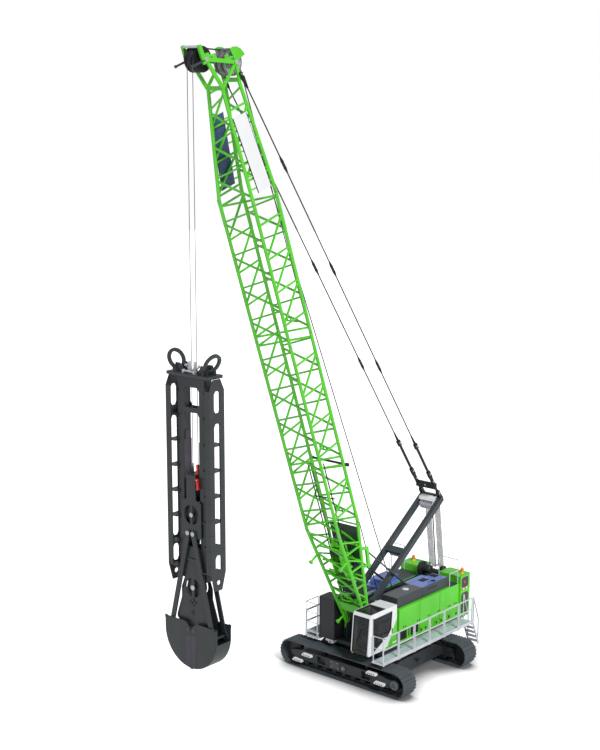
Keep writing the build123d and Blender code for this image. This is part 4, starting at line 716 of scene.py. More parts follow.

# The blue of these covers is a painted sky reflection, not their paint
sky_painted_covers = Steelwork()
sky_painted_covers.box(
    (hood_low.x + 0.03, GRIT_END + 0.02, hood_high.z - 0.004),
    (hood_high.x - 0.03, hood_high.y - 0.03, hood_high.z + 0.006))
sky_painted_covers.box((0.24, 1.5, 3.44), (hood_low.x + 0.02, 2.9, 3.47))
sky_painted_covers.box((far_low.x + 0.05, -0.4, far_high.z - 0.004), (far_high.x - 0.05, 2.6, far_high.z + 0.012))
sky_painted_covers.box((-1.45, 1.2, far_high.z + 0.01), (-0.72, 2.4, far_high.z + 0.3))
piece(sky_painted_covers, "roof_covers_painted_sky", "superstructure", PAINTED_SKY_REFLECTION, 0.01)

hatches = Steelwork()
for x0, y0, x1, y1 in ((0.74, 1.9, 1.05, 2.35), (1.2, 2.2, 1.4, 2.45), (0.72, 2.75, 1.1, 3.1)):
    hatches.box((x0, y0, hood_high.z), (x1, y1, hood_high.z + 0.012))
for x0, y0, x1, y1 in ((-1.5, 0.5, -1.15, 0.9), (-1.1, 0.2, -0.8, 0.9)):
    hatches.box((x0, y0, far_high.z), (x1, y1, far_high.z + 0.02))
SEAM = 0.008
hatches.box(
    (hood_high.x - 0.002, GRIT_END - SEAM, hood_low.z + 0.02),
    (hood_high.x + 0.002, GRIT_END + SEAM, hood_high.z))
hatches.box((hood_high.x - 0.002, 1.62, 3.36), (hood_high.x + 0.003, 2.35, 3.42))
piece(hatches, "roof_hatches", "superstructure", BLACK)

# %% [markdown]
# ## Winches between the houses
# The drums carry many turns of rope. Each turn is a ring, so a winding is a turned part whose
# radius goes up and down along the drum. Behind and above them sit black gear housings, a
# motor and pipes, which we build from turned parts and plates.

# %% Rope windings and gear housings
# Body, y, z and radius of the rope on each drum
WINDINGS = (
    ("front_drum", 0.25, 2.56, 0.315), ("rear_drum", 1.25, 2.56, 0.325), ("luff_drum", 3.05, 2.65, 0.245))
WINDING_HALF = 0.28
TURNS = 18
for body, y, z, radius in WINDINGS:
    lay = 2 * WINDING_HALF / TURNS
    rings = []
    for turn in range(TURNS):
        start = -WINDING_HALF + turn * lay
        rings += [(start, radius - 0.012), (start + lay / 2, radius)]
    rings.append((WINDING_HALF, radius - 0.012))
    winding = Steelwork()
    winding.turned(rings, 0, (0, y, z), 22)
    piece(winding, body + "_winding", body, "rope_steel")

GEAR_CENTRE = (0, 3.66, 3.5)
machinery = Steelwork()
for side in (-1, 1):
    for _, y, z, _ in WINDINGS:
        machinery.turned([(0.462, 0.17), (0.50, 0.17), (0.535, 0.12)], 0, (0, y, z), 18, side)
    machinery.plate(
        [(3.3, 2.2), (4.2, 2.2), (4.2, 2.85), (3.95, 3.1), (3.3, 2.9)], 0, side * 0.40, side * 0.36)
machinery.turned(
    [(-0.38, 0.05), (-0.36, 0.3), (-0.2, 0.33), (-0.16, 0.2), (0.2, 0.2), (0.24, 0.16)], 0,
    GEAR_CENTRE, 22)
machinery.box((-0.34, 3.3, 2.9), (0.3, 4.15, 3.2))
machinery.turned([(0.1, 0.05), (0.12, 0.17), (0.3, 0.19), (0.36, 0.12)], 0, (0.05, 4.55, 3.3), 20)
machinery.box((-0.4, 4.2, 2.4), (0.42, 4.7, 3.15))
for index in range(6):
    machinery.box((-0.3 + 0.11 * index, 4.25, 3.15), (-0.24 + 0.11 * index, 4.65, 3.22))
piece(machinery, "winch_machinery", "superstructure", ENGINE, 0.01)

bright = Steelwork()
bright.bar((0.1, 3.72, 3.62), (0.1, 4.55, 3.52), 0.045, 14)
bright.bar((0.1, 3.66, 3.63), (0.1, 3.72, 3.62), 0.06, 14)
bright.turned([(-0.42, 0.09), (-0.385, 0.09)], 0, GEAR_CENTRE, 18)
piece(bright, "winch_ram", "superstructure", SILVER)

pipes = Steelwork()
for x in (-0.5, -0.45, 0.48, 0.53):
    pipes.rail([(x, -0.6, 2.2), (x, 0.0, 3.0), (x, 1.9, 3.02), (x, 2.6, 2.9), (x * 0.8, 3.3, 3.1)], 0.022)
for x in (-0.2, 0.05, 0.22):
    pipes.rail([(x, 2.0, 2.3), (x + 0.05, 2.1, 3.0), (x + 0.1, 2.5, 3.15), (x, 2.6, 2.5)], 0.025)
pipes.box((-0.38, 1.85, 2.3), (0.38, 2.35, 2.95))
pipes.box((-0.3, -0.55, 1.5), (0.3, -0.3, 2.6))
piece(pipes, "deck_pipes", "superstructure", ENGINE)

# %% [markdown]
# ## Counterweight ends
# The green cast blocks have a dark recessed panel on the cab's side with round red lamps and a
# red and white strip between them. An amber beacon stands on each stack.

# %% Counterweight panels, lamps and beacons
weight_low, weight_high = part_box("counterweight")
SPLIT_Z = 2.73
BEACONS = ((-1.33, 4.42), (1.46, 4.40))

panels = Steelwork()
for z0, z1 in ((weight_low.z + 0.12, SPLIT_Z - 0.12), (SPLIT_Z + 0.12, weight_high.z - 0.08)):
    for side in (-1, 1):
        x = side * weight_high.x
        outline = [
            (4.00, z0 + 0.08), (4.08, z0), (4.46, z0), (4.54, z0 + 0.08),
            (4.54, z1 - 0.08), (4.46, z1), (4.08, z1), (4.00, z1 - 0.08)]
        panels.plate(outline, 0, x - side * 0.01, x + side * 0.004)
piece(panels, "weight_panels", "superstructure", "dark_hood")

lamps = Steelwork()
strips = Steelwork()
for side in (-1, 1):
    x = side * weight_high.x
    for y, z in ((4.22, 3.11), (4.24, 2.44), (4.20, 1.76)):
        lamps.turned([(0, 0.075), (0.015, 0.075), (0.028, 0.05)], 0, (x, y, z), 20, side)
    for index in range(5):
        y = 3.98 + 0.12 * index
        strip = lamps if index % 2 == 0 else strips
        strip.box((x, y, SPLIT_Z + 0.03), (x + side * 0.01, y + 0.12, SPLIT_Z + 0.10))
piece(lamps, "red_lamps", "superstructure", RED)
piece(strips, "white_strips", "superstructure", "white_paint")

bases = Steelwork()
domes = Steelwork()
for x, y in BEACONS:
    bases.turned([(0, 0.075), (0.03, 0.075), (0.05, 0.06), (0.12, 0.06)], 2, (x, y, weight_high.z), 18)
    domes.turned([(0.12, 0.085), (0.2, 0.085), (0.25, 0.065), (0.28, 0.03)], 2, (x, y, weight_high.z), 18)
piece(bases, "beacon_bases", "superstructure", YELLOW)
piece(domes, "beacon_domes", "superstructure", AMBER)

# %% [markdown]
# ## Cooler box
# The anthracite box ahead of the far house has louvres towards the cab's side and a small
# bracket with a hole low at its inner front corner. The hole is a black disc: painted shade.

# %% Box louvres and bracket
box_low, box_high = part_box("front_box")
louvres = Steelwork()
for index in range(16):
    z = box_low.z + 0.25 + index * 0.1
    x = box_high.x + 0.004
    louvres.beam((x, box_low.y + 0.1, z), (x, box_high.y - 0.1, z), 0.02, 0.03)
louvres.box(
    (box_low.x + 0.05, box_low.y - 0.004, box_low.z + 0.05),
    (box_low.x + 0.07, box_low.y + 0.002, box_high.z - 0.05))
piece(louvres, "box_louvres", "superstructure", BLACK)
bracket = Steelwork()
bracket.box((-1.1, -2.2, 1.36), (-0.84, -1.9, 1.5))
bracket.box((-1.25, -2.19, 1.42), (-1.1, -1.95, 1.5))
piece(bracket, "box_bracket", "superstructure", PALE, 0.006)
# Black disc for the bracket's hole: painted shade
eye = Steelwork()
eye.bar((-0.97, -2.195, 1.43), (-0.97, -2.204, 1.43), 0.04, 16)
piece(eye, "bracket_hole_painted_shade", "superstructure", BLACK)

# %% [markdown]
# ## Cab trim
# White posts carry black rubber gaskets round each pane. A green sweep runs up the lower rear
# of the side, in the paint of the house. The part of it that is on the sliding door rides with
# the door, so it has to be a piece of its own.

# %% Gaskets, green sweep and handle
SHELL_X = 1.74
DOOR_X = 1.786
ROOF_Z = 3.452
# Lower and upper z of the cab's leaning front, its y at the lower one and how far it leans back
FRONT_Z = (1.73, 3.32)
FRONT_Y = -2.96
FRONT_LEAN = 0.15


def front_y(z):
    """Y of the cab's leaning front at a height."""
    return FRONT_Y + (z - FRONT_Z[0]) / (FRONT_Z[1] - FRONT_Z[0]) * FRONT_LEAN


gaskets = Steelwork()
FRONT_PANE = [(0.875, 1.765), (1.665, 1.765), (1.665, 3.285), (0.875, 3.285)]
gaskets.frame([(x, front_y(z) + 0.004, z) for x, z in FRONT_PANE], 0.035, 0.03)
ROOF_PANE = [(0.89, -2.58), (1.65, -2.58), (1.65, -1.73), (0.89, -1.73)]
gaskets.frame([(x, y, ROOF_Z) for x, y in ROOF_PANE], 0.03, 0.02)
gaskets.bar((1.0, front_y(1.8) - 0.015, 1.8), (1.22, front_y(2.75) - 0.012, 2.75), 0.012, 6)
gaskets.box((1.1, front_y(1.8) - 0.02, 1.77), (1.3, front_y(1.8) + 0.02, 1.83))
gaskets.box((0.86, -2.967, 1.665), (1.68, -2.94, 1.765))
ROOF_BANDS = (
    (0.84, -2.72, 1.70, -2.57), (0.84, -2.57, 0.90, -1.74),
    (1.64, -2.57, 1.70, -1.74), (0.84, -1.74, 1.70, -1.70))
for x0, y0, x1, y1 in ROOF_BANDS:
    gaskets.box((x0, y0, 3.446), (x1, y1, 3.456))
piece(gaskets, "cab_gaskets", "superstructure", BLACK)

DOOR_PANE = [(-2.62, 3.24), (-1.36, 3.26), (-1.43, 2.49), (-1.71, 2.18), (-2.54, 1.99)]
door_trim = Steelwork()
door_trim.frame([(DOOR_X - 0.003, y, z) for y, z in DOOR_PANE], 0.02, 0.035)
door_trim.plate(
    [(-2.68, 3.28), (-2.68, 1.80), (-2.58, 1.80), (-1.64, 2.24), (-1.74, 2.21), (-2.54, 2.01),
     (-2.60, 3.28)], 0, DOOR_X - 0.004, DOOR_X + 0.003)
door_trim.box((DOOR_X - 0.002, -1.36, 2.28), (DOOR_X + 0.018, -1.33, 2.5))
piece(door_trim, "door_gasket", "sliding_door", BLACK)

sweep = Steelwork()
sweep.plate([(-1.68, 1.765), (-1.305, 1.765), (-1.305, 2.31)], 0, DOOR_X - 0.004, DOOR_X + 0.002)
piece(sweep, "door_sweep", "sliding_door", "lime_green")
shell_sweep = Steelwork()
for outline in (
        [(-1.29, 1.82), (-0.955, 1.82), (-0.955, 2.80), (-1.29, 2.32)],
        [(-1.75, 1.645), (-0.955, 1.645), (-0.955, 1.77), (-1.67, 1.77)]):
    shell_sweep.plate(outline, 0, SHELL_X - 0.004, SHELL_X + 0.002)
piece(shell_sweep, "shell_sweep", "superstructure", "lime_green")

for name, x, z, finish in (
        ("cab_marker_red", 0.86, 1.68, RED), ("cab_marker_green", 0.9, 1.66, "lime_green")):
    marker = Steelwork()
    marker.bar((x, -2.975, z), (x, -2.94, z), 0.03, 12)
    piece(marker, name, "superstructure", finish)

# %% [markdown]
# ## The driver's place
# Through the tinted glass we see a pale console, a lever and the seat. The frame's seat is a
# plain block, so padded cushions replace it: a closed form that is crowned in the middle, pulls
# in at its corners and has sewn channels. A formula swells a fine block into each pad. No cloth
# simulation is run, so the channels are smooth grooves without the small folds of real covers.

# %% Console and cushions


def cushion(name, low, high, channels):
    """A crowned pad with sewn channels across its longest side."""
    low, high = Vector(low), Vector(high)
    middle, half = (low + high) / 2, (high - low) / 2
    mesh = bmesh.new()
    bmesh.ops.create_cube(mesh, size=2)
    bmesh.ops.subdivide_edges(mesh, edges=mesh.edges, cuts=9, use_grid_fill=True)
    thin = min(range(3), key=lambda axis: half[axis])
    long = 2 if thin == 1 else 1
    for vert in mesh.verts:
        flat = [vert.co[axis] for axis in range(3) if axis != thin]
        crown = (1 - flat[0] ** 4) * (1 - flat[1] ** 4)
        groove = min([abs(vert.co[long] - place) for place in channels])
        pinch = 1 - 0.28 * max(0, 1 - groove / 0.12)
        vert.co[thin] *= (0.55 + 0.45 * crown) * pinch
        for axis in range(3):
            if axis != thin:
                vert.co[axis] *= 1 - 0.05 * (1 - crown) * abs(vert.co[axis])
        vert.co = middle + Vector([vert.co[axis] * half[axis] for axis in range(3)])
    made = mesh_object(mesh, name, PAINTS["seat_fabric"])
    smooth = made.modifiers.new("smooth", "SUBSURF")
    smooth.levels = smooth.render_levels = 1
    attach(made, "superstructure")
    print(name, "padded")
    return made


seat = cushion("seat_cushion", (1.03, -1.83, 2.03), (1.51, -1.3, 2.145), (-0.35, 0.35))
cushion("seat_back", (1.04, -1.34, 2.14), (1.50, -1.2, 2.66), (-0.4, 0.1))
cushion("seat_head_rest", (1.13, -1.33, 2.69), (1.41, -1.22, 2.845), (0.0,))
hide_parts("cab_seat")

stand = Steelwork()
stand.box((1.09, -1.75, 1.6955), (1.45, -1.35, 1.80))
BELLOWS = [(1.80, 0.13), (1.86, 0.15), (1.92, 0.13), (1.98, 0.15), (2.03, 0.14)]
stand.turned(BELLOWS, 2, (1.27, -1.55, 0), 18)
stand.box((1.08, -1.24, 2.0), (1.46, -1.21, 2.7))
stand.box((1.2, -1.26, 2.66), (1.34, -1.24, 2.76))
piece(stand, "seat_stand", "superstructure", BLACK, 0.005)

console = Steelwork()
console.plate([(-2.55, 1.70), (-2.2, 1.70), (-2.25, 2.15), (-2.42, 2.3), (-2.55, 2.2)], 0, 1.02, 1.5)
console.box((0.93, -1.9, 1.7), (1.0, -1.3, 2.2))
console.box((1.53, -1.9, 1.7), (1.6, -1.3, 2.2))
piece(console, "cab_console", "superstructure", PALE, 0.01)
levers = Steelwork()
for x in (0.965, 1.565):
    levers.bar((x, -1.8, 2.2), (x, -1.84, 2.4), 0.014, 8)
    levers.bar((x, -1.84, 2.4), (x, -1.85, 2.47), 0.028, 10)
levers.box((1.12, -2.5, 2.32), (1.42, -2.46, 2.55))
levers.bar((1.27, -2.42, 2.25), (1.27, -2.48, 2.4), 0.02, 8)
piece(levers, "cab_levers", "superstructure", BLACK)

# %% [markdown]
# ## Gantry details
# The leaning frame carries a nest of pale sheaves under its head beam and a round housing
# under its cross brace. Above it, chunky dark links join the two boom stays.

# %% Sheave nest, brace housing and stay links
NEST = (3.80, 6.62)
BRACE = (0, 1.33, 4.79)
# Offset along the shaft and radius, over one sheave
GROOVE = ((0, 0.27), (0.025, 0.27), (0.05, 0.225), (0.065, 0.225), (0.09, 0.27))
nest = Steelwork()
rings = []
for index in range(7):
    start = -0.40 + index * 0.114
    rings += [(start + offset, radius) for offset, radius in GROOVE]
nest.turned(rings, 0, (0, *NEST), 28)
piece(nest, "sheave_nest", "a_frame", PALE)
cover = Steelwork()
cover.plate(
    [(3.49, 6.84), (3.54, 6.97), (3.72, 7.05), (3.74, 7.02), (3.57, 6.94), (3.52, 6.83)], 0, -0.42, 0.42)
piece(cover, "nest_cover", "a_frame", "white_paint")

cheeks = Steelwork()
for x in (-0.417, 0.0, 0.417):
    cheeks.plate(
        [(3.62, 6.45), (3.8, 6.36), (3.98, 6.5), (4.05, 6.85), (3.85, 6.9), (3.62, 6.75)], 0,
        x - 0.008, x + 0.008)
cheeks.box((-0.42, 3.72, 6.585), (0.42, 3.88, 6.655))
cheeks.turned([(-0.34, 0.06), (-0.33, 0.1), (0.33, 0.1), (0.34, 0.06)], 0, BRACE, 20)
for x in (-0.3, 0.3):
    cheeks.box((x - 0.02, 1.25, 4.78), (x + 0.02, 1.4, 4.92))
piece(cheeks, "nest_cheeks", "a_frame", "dark_frame", 0.004)
housing = Steelwork()
housing.turned([(-0.28, 0.105), (0.28, 0.105)], 0, BRACE, 24)
piece(housing, "brace_housing", "a_frame", SILVER, 0.006)
GANTRY_FOOT = (0, -1.05, 3.35)
STAY_EYE = Vector((0, 3.74, 7.23))
foot_caps = Steelwork()
head_caps = Steelwork()
for side in (-1, 1):
    foot_caps.turned([(0.655, 0.075), (0.68, 0.075), (0.69, 0.05)], 0, GANTRY_FOOT, 16, side)
    head_caps.turned([(0.563, 0.05), (0.585, 0.05), (0.592, 0.035)], 0, STAY_EYE, 14, side)
piece(foot_caps, "gantry_foot_caps", "superstructure", SILVER)
piece(head_caps, "gantry_head_caps", "a_frame", SILVER)

STAY_TOP = Vector((0, -9.2, 25.84))
STAY_WAY = (STAY_EYE - STAY_TOP).normalized()
STAY_X = 0.47


def up_stay(x, length):
    """A place beside a stay, this far up from its eye at the gantry."""
    return STAY_EYE - STAY_WAY * length + Vector((x, 0, 0))


stay_links = Steelwork()
stay_pins = Steelwork()
for x in (-STAY_X, STAY_X):
    stay_links.bar(up_stay(x, 3.2), up_stay(x, 3.75), 0.062, 12, 0.032)
    for start, end, width, depth in (
            (2.92, 3.22, 0.13, 0.17), (1.25, 3.0, 0.085, 0.10), (1.02, 1.42, 0.13, 0.17),
            (0.5, 1.1, 0.115, 0.13), (0.05, 0.5, 0.07, 0.11)):
        stay_links.beam(up_stay(x, start), up_stay(x, end), width, depth)
    for length in (3.08, 1.25, 0.78):
        stay_pins.bar(up_stay(x - 0.085, length), up_stay(x + 0.085, length), 0.045, 14)
stay_links.beam(up_stay(-0.53, 0.44), up_stay(0.53, 0.44), 0.16, 0.27)
reach = Vector((0, 0.1, 0))
stay_pins.bar(up_stay(0, 0.44) - reach, up_stay(0, 0.44) + reach, 0.04, 14)
piece(stay_links, "stay_links", "stays", "sheave_black", 0.006)
piece(stay_pins, "stay_pins", "stays", SILVER)

stay_ropes = Steelwork()
for x in (-STAY_X, STAY_X):
    stay_ropes.bar(up_stay(x, 3.7), STAY_TOP + Vector((x, 0, 0)) + STAY_WAY * 0.5, 0.0215, 8)
piece(stay_ropes, "stay_ropes", "stays", "rope_steel")
sockets = Steelwork()
for side in (-1, 1):
    shift = Vector((side * STAY_X, 0, 0))
    sockets.bar(STAY_TOP + shift + STAY_WAY * 0.12, STAY_TOP + shift + STAY_WAY * 0.62, 0.095, 12, 0.04)
    for along in (4.1, 9.3, 14.7):
        middle = STAY_TOP + shift + STAY_WAY * along
        for way in (-1, 1):
            sockets.bar(middle + STAY_WAY * way * 0.14, middle + STAY_WAY * way * 0.42, 0.065, 10, 0.025)
piece(sockets, "stay_sockets", "stays", "sheave_black")

# %% [markdown]
# ## Ropes between two bodies
# The luffing tackle runs from the nest down to the winch, between the gantry and the deck. It is
# one piece fixed in the machine's frame, so neither end follows its body. The hoist ropes behind
# the boom and the telescoping backstops are made the same way, between the boom and the deck.

# %% Luffing tackle, hoist ropes behind the boom, backstops
TACKLE_TOP = (4.02, 6.5)
TACKLE_FOOT = (4.42, 3.45)
falls = Steelwork()
for side in (-1, 1):
    for index in range(6):
        x = side * (0.125 + index * 0.055)
        falls.bar((x, *TACKLE_FOOT), (x, *TACKLE_TOP), 0.018, 6)
TACKLE = (("superstructure", "a_frame"), ((0, *TACKLE_FOOT), (0, *TACKLE_TOP)))
span_piece(falls, "luffing_falls", *TACKLE, ROPE_GREY)
lead = Steelwork()
lead.bar((0.03, 4.3, 3.45), (0.03, 3.95, 6.5), 0.028, 8)
lead.bar((-0.02, 3.2, 4.6), (-0.3, 3.62, 6.5), 0.006, 5)
span_piece(lead, "luffing_lead", *TACKLE, PAINTS["rope_steel"])

REAR_SHEAVE = (-9.40, 26.26)
# Start of each rope at its drum, and X of its groove at the sheave
DRUM_ENDS = (((-0.14, 1.33, 2.85), -0.14), ((-0.26, 0.42, 2.8), 0.14))
leads = Steelwork()
for start, x in DRUM_ENDS:
    leads.bar(start, (x, REAR_SHEAVE[0] + 0.366, REAR_SHEAVE[1] + 0.16), 0.0205, 8)
UPPER_AND_BOOM = ("superstructure", "boom")
span_piece(leads, "hoist_leads", UPPER_AND_BOOM, ((0, 1.0, 2.8), (0, -9.0, 26.3)), PAINTS["rope_steel"])

STOP_FOOT = (1.20, 3.50)
STOP_TOP = (-1.86, 5.86)
STOP_SPREAD = 1.186
stops = Steelwork()
middle = [(a + b) / 2 for a, b in zip(STOP_FOOT, STOP_TOP)]
for x in (-0.7, 0.7):
    top_x = x * STOP_SPREAD
    stops.bar((x, *STOP_FOOT), ((x + top_x) / 2, *middle), 0.055, 12)
    stops.bar(((x + top_x) / 2, *middle), (top_x, *STOP_TOP), 0.035, 12)
span_piece(stops, "backstops", UPPER_AND_BOOM, ((0, *STOP_FOOT), (0, *STOP_TOP)), PAINTS["dark_frame"])

# %% [markdown]
# ## Along the boom
# Boom pieces are easiest to place in the boom's own measures: across the machine, from front to
# back, and along. One function turns those into the machine's frame. The chords taper at both
# ends, so a second function gives their place at any length.

# %% The boom's own measures
BOOM_ANGLE = math.radians(70.07)
BOOM_PIN = (-1.412, 2.064)
# Lengths along the boom where the foot's taper ends and the head's taper begins and ends
FOOT_END, HEAD_START, BOOM_END = 5.5, 20.5, 24.815


def on_boom(x, across, along):
    """A place given in the boom's measures, in the machine's frame."""
    y = BOOM_PIN[0] - along * math.cos(BOOM_ANGLE) + across * math.sin(BOOM_ANGLE)
    z = BOOM_PIN[1] + along * math.sin(BOOM_ANGLE) + across * math.cos(BOOM_ANGLE)
    return Vector((x, y, z))


def chord(side, rear, along):
    """A place on a chord: side is -1 or 1, rear is False or True."""
    half, front, back = 0.885, -0.65, 0.65
    if along < FOOT_END:
        part = along / FOOT_END
        half, front, back = 0.62 + part * 0.265, -part * 0.65, part * 0.65
    if along > HEAD_START:
        part = (along - HEAD_START) / (BOOM_END - HEAD_START)
        half, front, back = 0.885 - part * 0.525, -0.65 + part * 0.437, 0.65 + part * 0.051
    return side * half, (back if rear else front), along


def boom_block(solid, low, high):
    """A block between two corners in the boom's measures."""
    (x0, y0, z0), (x1, y1, z1) = low, high
    solid.skin([
        [on_boom(x, y, along) for x, y in ((x0, y0), (x1, y0), (x1, y1), (x0, y1))] for along in (z0, z1)])


print("boom measures reach", on_boom(0, 0, BOOM_END))

# %% Section pins
pins = Steelwork()
for along in (FOOT_END, 8.5, 14.5, HEAD_START):
    for side in (-1, 1):
        for rear in (False, True):
            x, across, _ = chord(side, rear, along)
            start, end = on_boom(x - 0.075, across, along), on_boom(x + 0.075, across, along)
            pins.bar(start, end, 0.034, 12)
piece(pins, "section_pins", "boom", SILVER)

# %% [markdown]
# ## Steps and a roller at the section joints
# Each joint has a short perforated step on the rear face, for the fitter who drives the pins.
# At the lower section a dark roller lies across the rear chords, where a slack rope may rest.

# %% Steps and rope roller
treads = Steelwork()
for along in (5.85, 8.9, 14.9):
    for low, high in ((-0.02, 0.0), (0.12, 0.14)):
        boom_block(treads, (-0.2, 0.58, along + low), (0.36, 0.66, along + high))
    for x in (-0.2, -0.02, 0.16, 0.33):
        boom_block(treads, (x, 0.6, along), (x + 0.03, 0.66, along + 0.12))
piece(treads, "boom_steps", "boom", "lime_green")
roller = Steelwork()
ROLLER_PLACE = (0.74, 8.26)
for start, end, radius, count in (
        (-0.86, 0.93, 0.05, 14), (-1.0, -0.86, 0.078, 16), (0.93, 1.06, 0.078, 16)):
    roller.bar(on_boom(start, *ROLLER_PLACE), on_boom(end, *ROLLER_PLACE), radius, count)
piece(roller, "boom_roller", "boom", "rope_steel")

# %% [markdown]
# ## The boom foot
# Inside the foot section the photograph shows a rope guide: two green plates with dark rollers,
# cross tubes, hoops that keep ropes in place, and short flanged tubes that point forward.
# Dark hoses climb along the inside.

# %% Rope guide, hoops, stubs and hoses
GUIDE_PLATE = ((-0.34, 3.5), (-0.30, 4.35), (0.05, 4.6), (0.3, 4.3), (0.26, 3.2), (-0.12, 2.7))
guide = Steelwork()
rollers = Steelwork()
for side in (-1, 1):
    x = side * 0.24
    guide.skin([
        [on_boom(x + offset, across, along) for across, along in GUIDE_PLATE]
        for offset in (0.0, side * 0.02)])
for across, along, radius in ((-0.12, 4.15, 0.2), (0.08, 3.3, 0.2)):
    rollers.bar(on_boom(-0.23, across, along), on_boom(0.23, across, along), radius, 18)
for along in (2.9, 3.7, 4.45):
    for rear, radius in ((False, 0.045), (True, 0.04)):
        x, across, _ = chord(1, rear, along)
        guide.bar(on_boom(-x, across * 0.6, along), on_boom(x, across * 0.6, along), radius, 10)
for along in (1.75, 2.15, 2.55):
    angles = [math.pi * index / 8 for index in range(9)]
    arc = [on_boom(0.42 * math.cos(angle), -0.05 - 0.3 * math.sin(angle), along) for angle in angles]
    guide.rail(arc, 0.026)
for low, high in (
        ((-0.6, -0.17, 1.0), (0.6, -0.15, 1.42)), ((-0.6, 0.15, 1.1), (0.6, 0.17, 1.42)),
        ((-0.55, -0.3, 2.95), (-0.24, -0.27, 3.3))):
    boom_block(guide, low, high)
for side in (-1, 1):
    x, front, _ = chord(side, False, 4.1)
    knee = side * 0.6
    for start, end, radius, count in (
            ((x, front, 4.1), (x, front - 0.5, 4.02), 0.05, 12),
            ((x, front - 0.47, 4.02), (x, front - 0.53, 4.01), 0.10, 14),
            ((knee, -0.08, 0.62), (knee, -0.55, 0.60), 0.05, 12),
            ((knee, -0.52, 0.60), (knee, -0.57, 0.60), 0.09, 14)):
        guide.bar(on_boom(*start), on_boom(*end), radius, count)
piece(guide, "rope_guide", "boom", "lime_green")
piece(rollers, "guide_rollers", "boom", BLACK)

posts = Steelwork()
for side in (-1, 1):
    x = side * 0.83
    for start, end, width, depth in (
            ((-2.42, 6.12), (-1.93, 6.05), 0.09, 0.13), ((-1.97, 6.1), (-1.80, 5.15), 0.10, 0.16),
            ((-2.1, 5.25), (-1.83, 5.35), 0.07, 0.10)):
        posts.beam((x, *start), (x, *end), width, depth)
piece(posts, "backstop_posts", "boom", "lime_green", 0.006)

tubes = Steelwork()
for x, across in ((-0.42, -0.06), (-0.34, 0.0), (0.36, 0.05)):
    tubes.rail([on_boom(x, across * 0.3, 0.5), on_boom(x, across, 3.0), on_boom(x, across, 8.6)], 0.026)
for along in (5.6, 6.9):
    tubes.bar(on_boom(-0.5, -0.06, along), on_boom(0.5, 0.03, along), 0.03, 8)
piece(tubes, "boom_hoses", "boom", "rope_steel")

# %% [markdown]
# ## Boards
# Each board is a sheet on short green brackets. Its inner side is dark blue and its front edge
# has a dark trim, while the outside stays white and bare.

# %% Blue inner faces, edge trims and brackets
BOARD_SPAN = (20.8, 23.68)
BOARD_ACROSS = (-0.30, 0.42)
BOARD_LIFT = 0.0708


def board_x(side, along, lift):
    """X of a face parallel to a side of the tapering section."""
    return side * (chord(1, False, along)[0] + lift)


blue = Steelwork()
trims = Steelwork()
brackets = Steelwork()
for side in (-1, 1):
    low, high = BOARD_SPAN[0] + 0.01, BOARD_SPAN[1] - 0.01
    inner, outer = BOARD_LIFT - 0.008, BOARD_LIFT + 0.002
    blue.skin([
        [on_boom(board_x(side, along, lift), across, along)
         for along, lift in ((low, inner), (low, outer), (high, outer), (high, inner))]
        for across in (BOARD_ACROSS[0] + 0.01, BOARD_ACROSS[1] - 0.01)])
    for across in BOARD_ACROSS:
        ends = [on_boom(board_x(side, along, BOARD_LIFT + 0.015), across, along) for along in BOARD_SPAN]
        trims.beam(*ends, 0.036, 0.02)
    for index in range(6):
        along = BOARD_SPAN[0] + 0.2 + index * 0.48
        for rear in (False, True):
            x, across, _ = chord(side, rear, along)
            edge = BOARD_ACROSS[1] if rear else BOARD_ACROSS[0]
            end = on_boom(board_x(side, along, BOARD_LIFT - 0.01), edge * 0.9, along)
            brackets.beam(on_boom(x, across, along), end, 0.03, 0.05)
piece(blue, "board_inner_faces", "boom", BOARD_BLUE)
piece(trims, "board_trims", "boom", BLACK)
piece(brackets, "board_brackets", "boom", "lime_green")

# %% [markdown]
# ## Boom head
# A silver bar lies over the front sheaves, dark horns keep a slack rope off the boom, silver
# caps close the shafts, and the two ropes cross from one set of sheaves to the other.

# %% Rope bar, horns, shaft caps, crossing ropes
FRONT_SHEAVE = (-10.95, 26.33)
rope_bar = Steelwork()
boom_block(rope_bar, (-0.41, -0.925, 26.55), (0.41, -0.785, 26.612))
piece(rope_bar, "rope_bar_cover", "boom", PALE, 0.008)

ears = Steelwork()
for side in (-1, 1):
    boom_block(ears, (side * 0.37 - 0.03, -0.90, 26.55), (side * 0.37 + 0.03, -0.81, 26.63))
    for turn in (0.18, 0.83):
        lug = Vector((side * 0.4, FRONT_SHEAVE[0] + turn * 1.55, FRONT_SHEAVE[1] - turn * 0.07 + 0.1))
        ears.box(lug - Vector((0.035, 0.09, 0.0)), lug + Vector((0.035, 0.09, 0.09)))
piece(ears, "head_ears", "boom", "lime_green", 0.01)

horns = Steelwork()
for side in (-1, 1):
    root = Vector((side * 0.43, -11.05, 26.28))
    tip = Vector((side * 0.43, -11.62, 26.07))
    horns.bar(root, tip, 0.042, 12)
    horns.bar(tip, tip + (tip - root) * 0.06, 0.06, 12)
piece(horns, "head_horns", "boom", "dark_frame")

shaft_caps = Steelwork()
for side in (-1, 1):
    for y, z in (FRONT_SHEAVE, REAR_SHEAVE):
        shaft_caps.turned([(0.455, 0.085), (0.475, 0.085), (0.485, 0.06)], 0, (0, y, z), 20, side)
piece(shaft_caps, "shaft_caps", "boom", SILVER)

crossing = Steelwork()
for x in (-0.14, 0.14):
    ends = [(x, y + 0.02, z + 0.405) for y, z in (FRONT_SHEAVE, REAR_SHEAVE)]
    crossing.bar(*ends, 0.015, 6)
piece(crossing, "crossing_ropes", "boom", "rope_steel")

FLANK = (
    (0.23, 0.44), (0.243, 0.44), (0.243, 0.38), (0.238, 0.37), (0.238, 0.2), (0.26, 0.19), (0.26, 0.13))
for body, (y, z), material in (
        ("front_sheave_set", FRONT_SHEAVE, PAINTS["sheave_black"]),
        ("rear_sheave_set", REAR_SHEAVE, SILVER)):
    flanks = Steelwork()
    for side in (-1, 1):
        flanks.turned(FLANK, 0, (0, y, z), 28, side)
    piece(flanks, body + "_flanks", body, material)

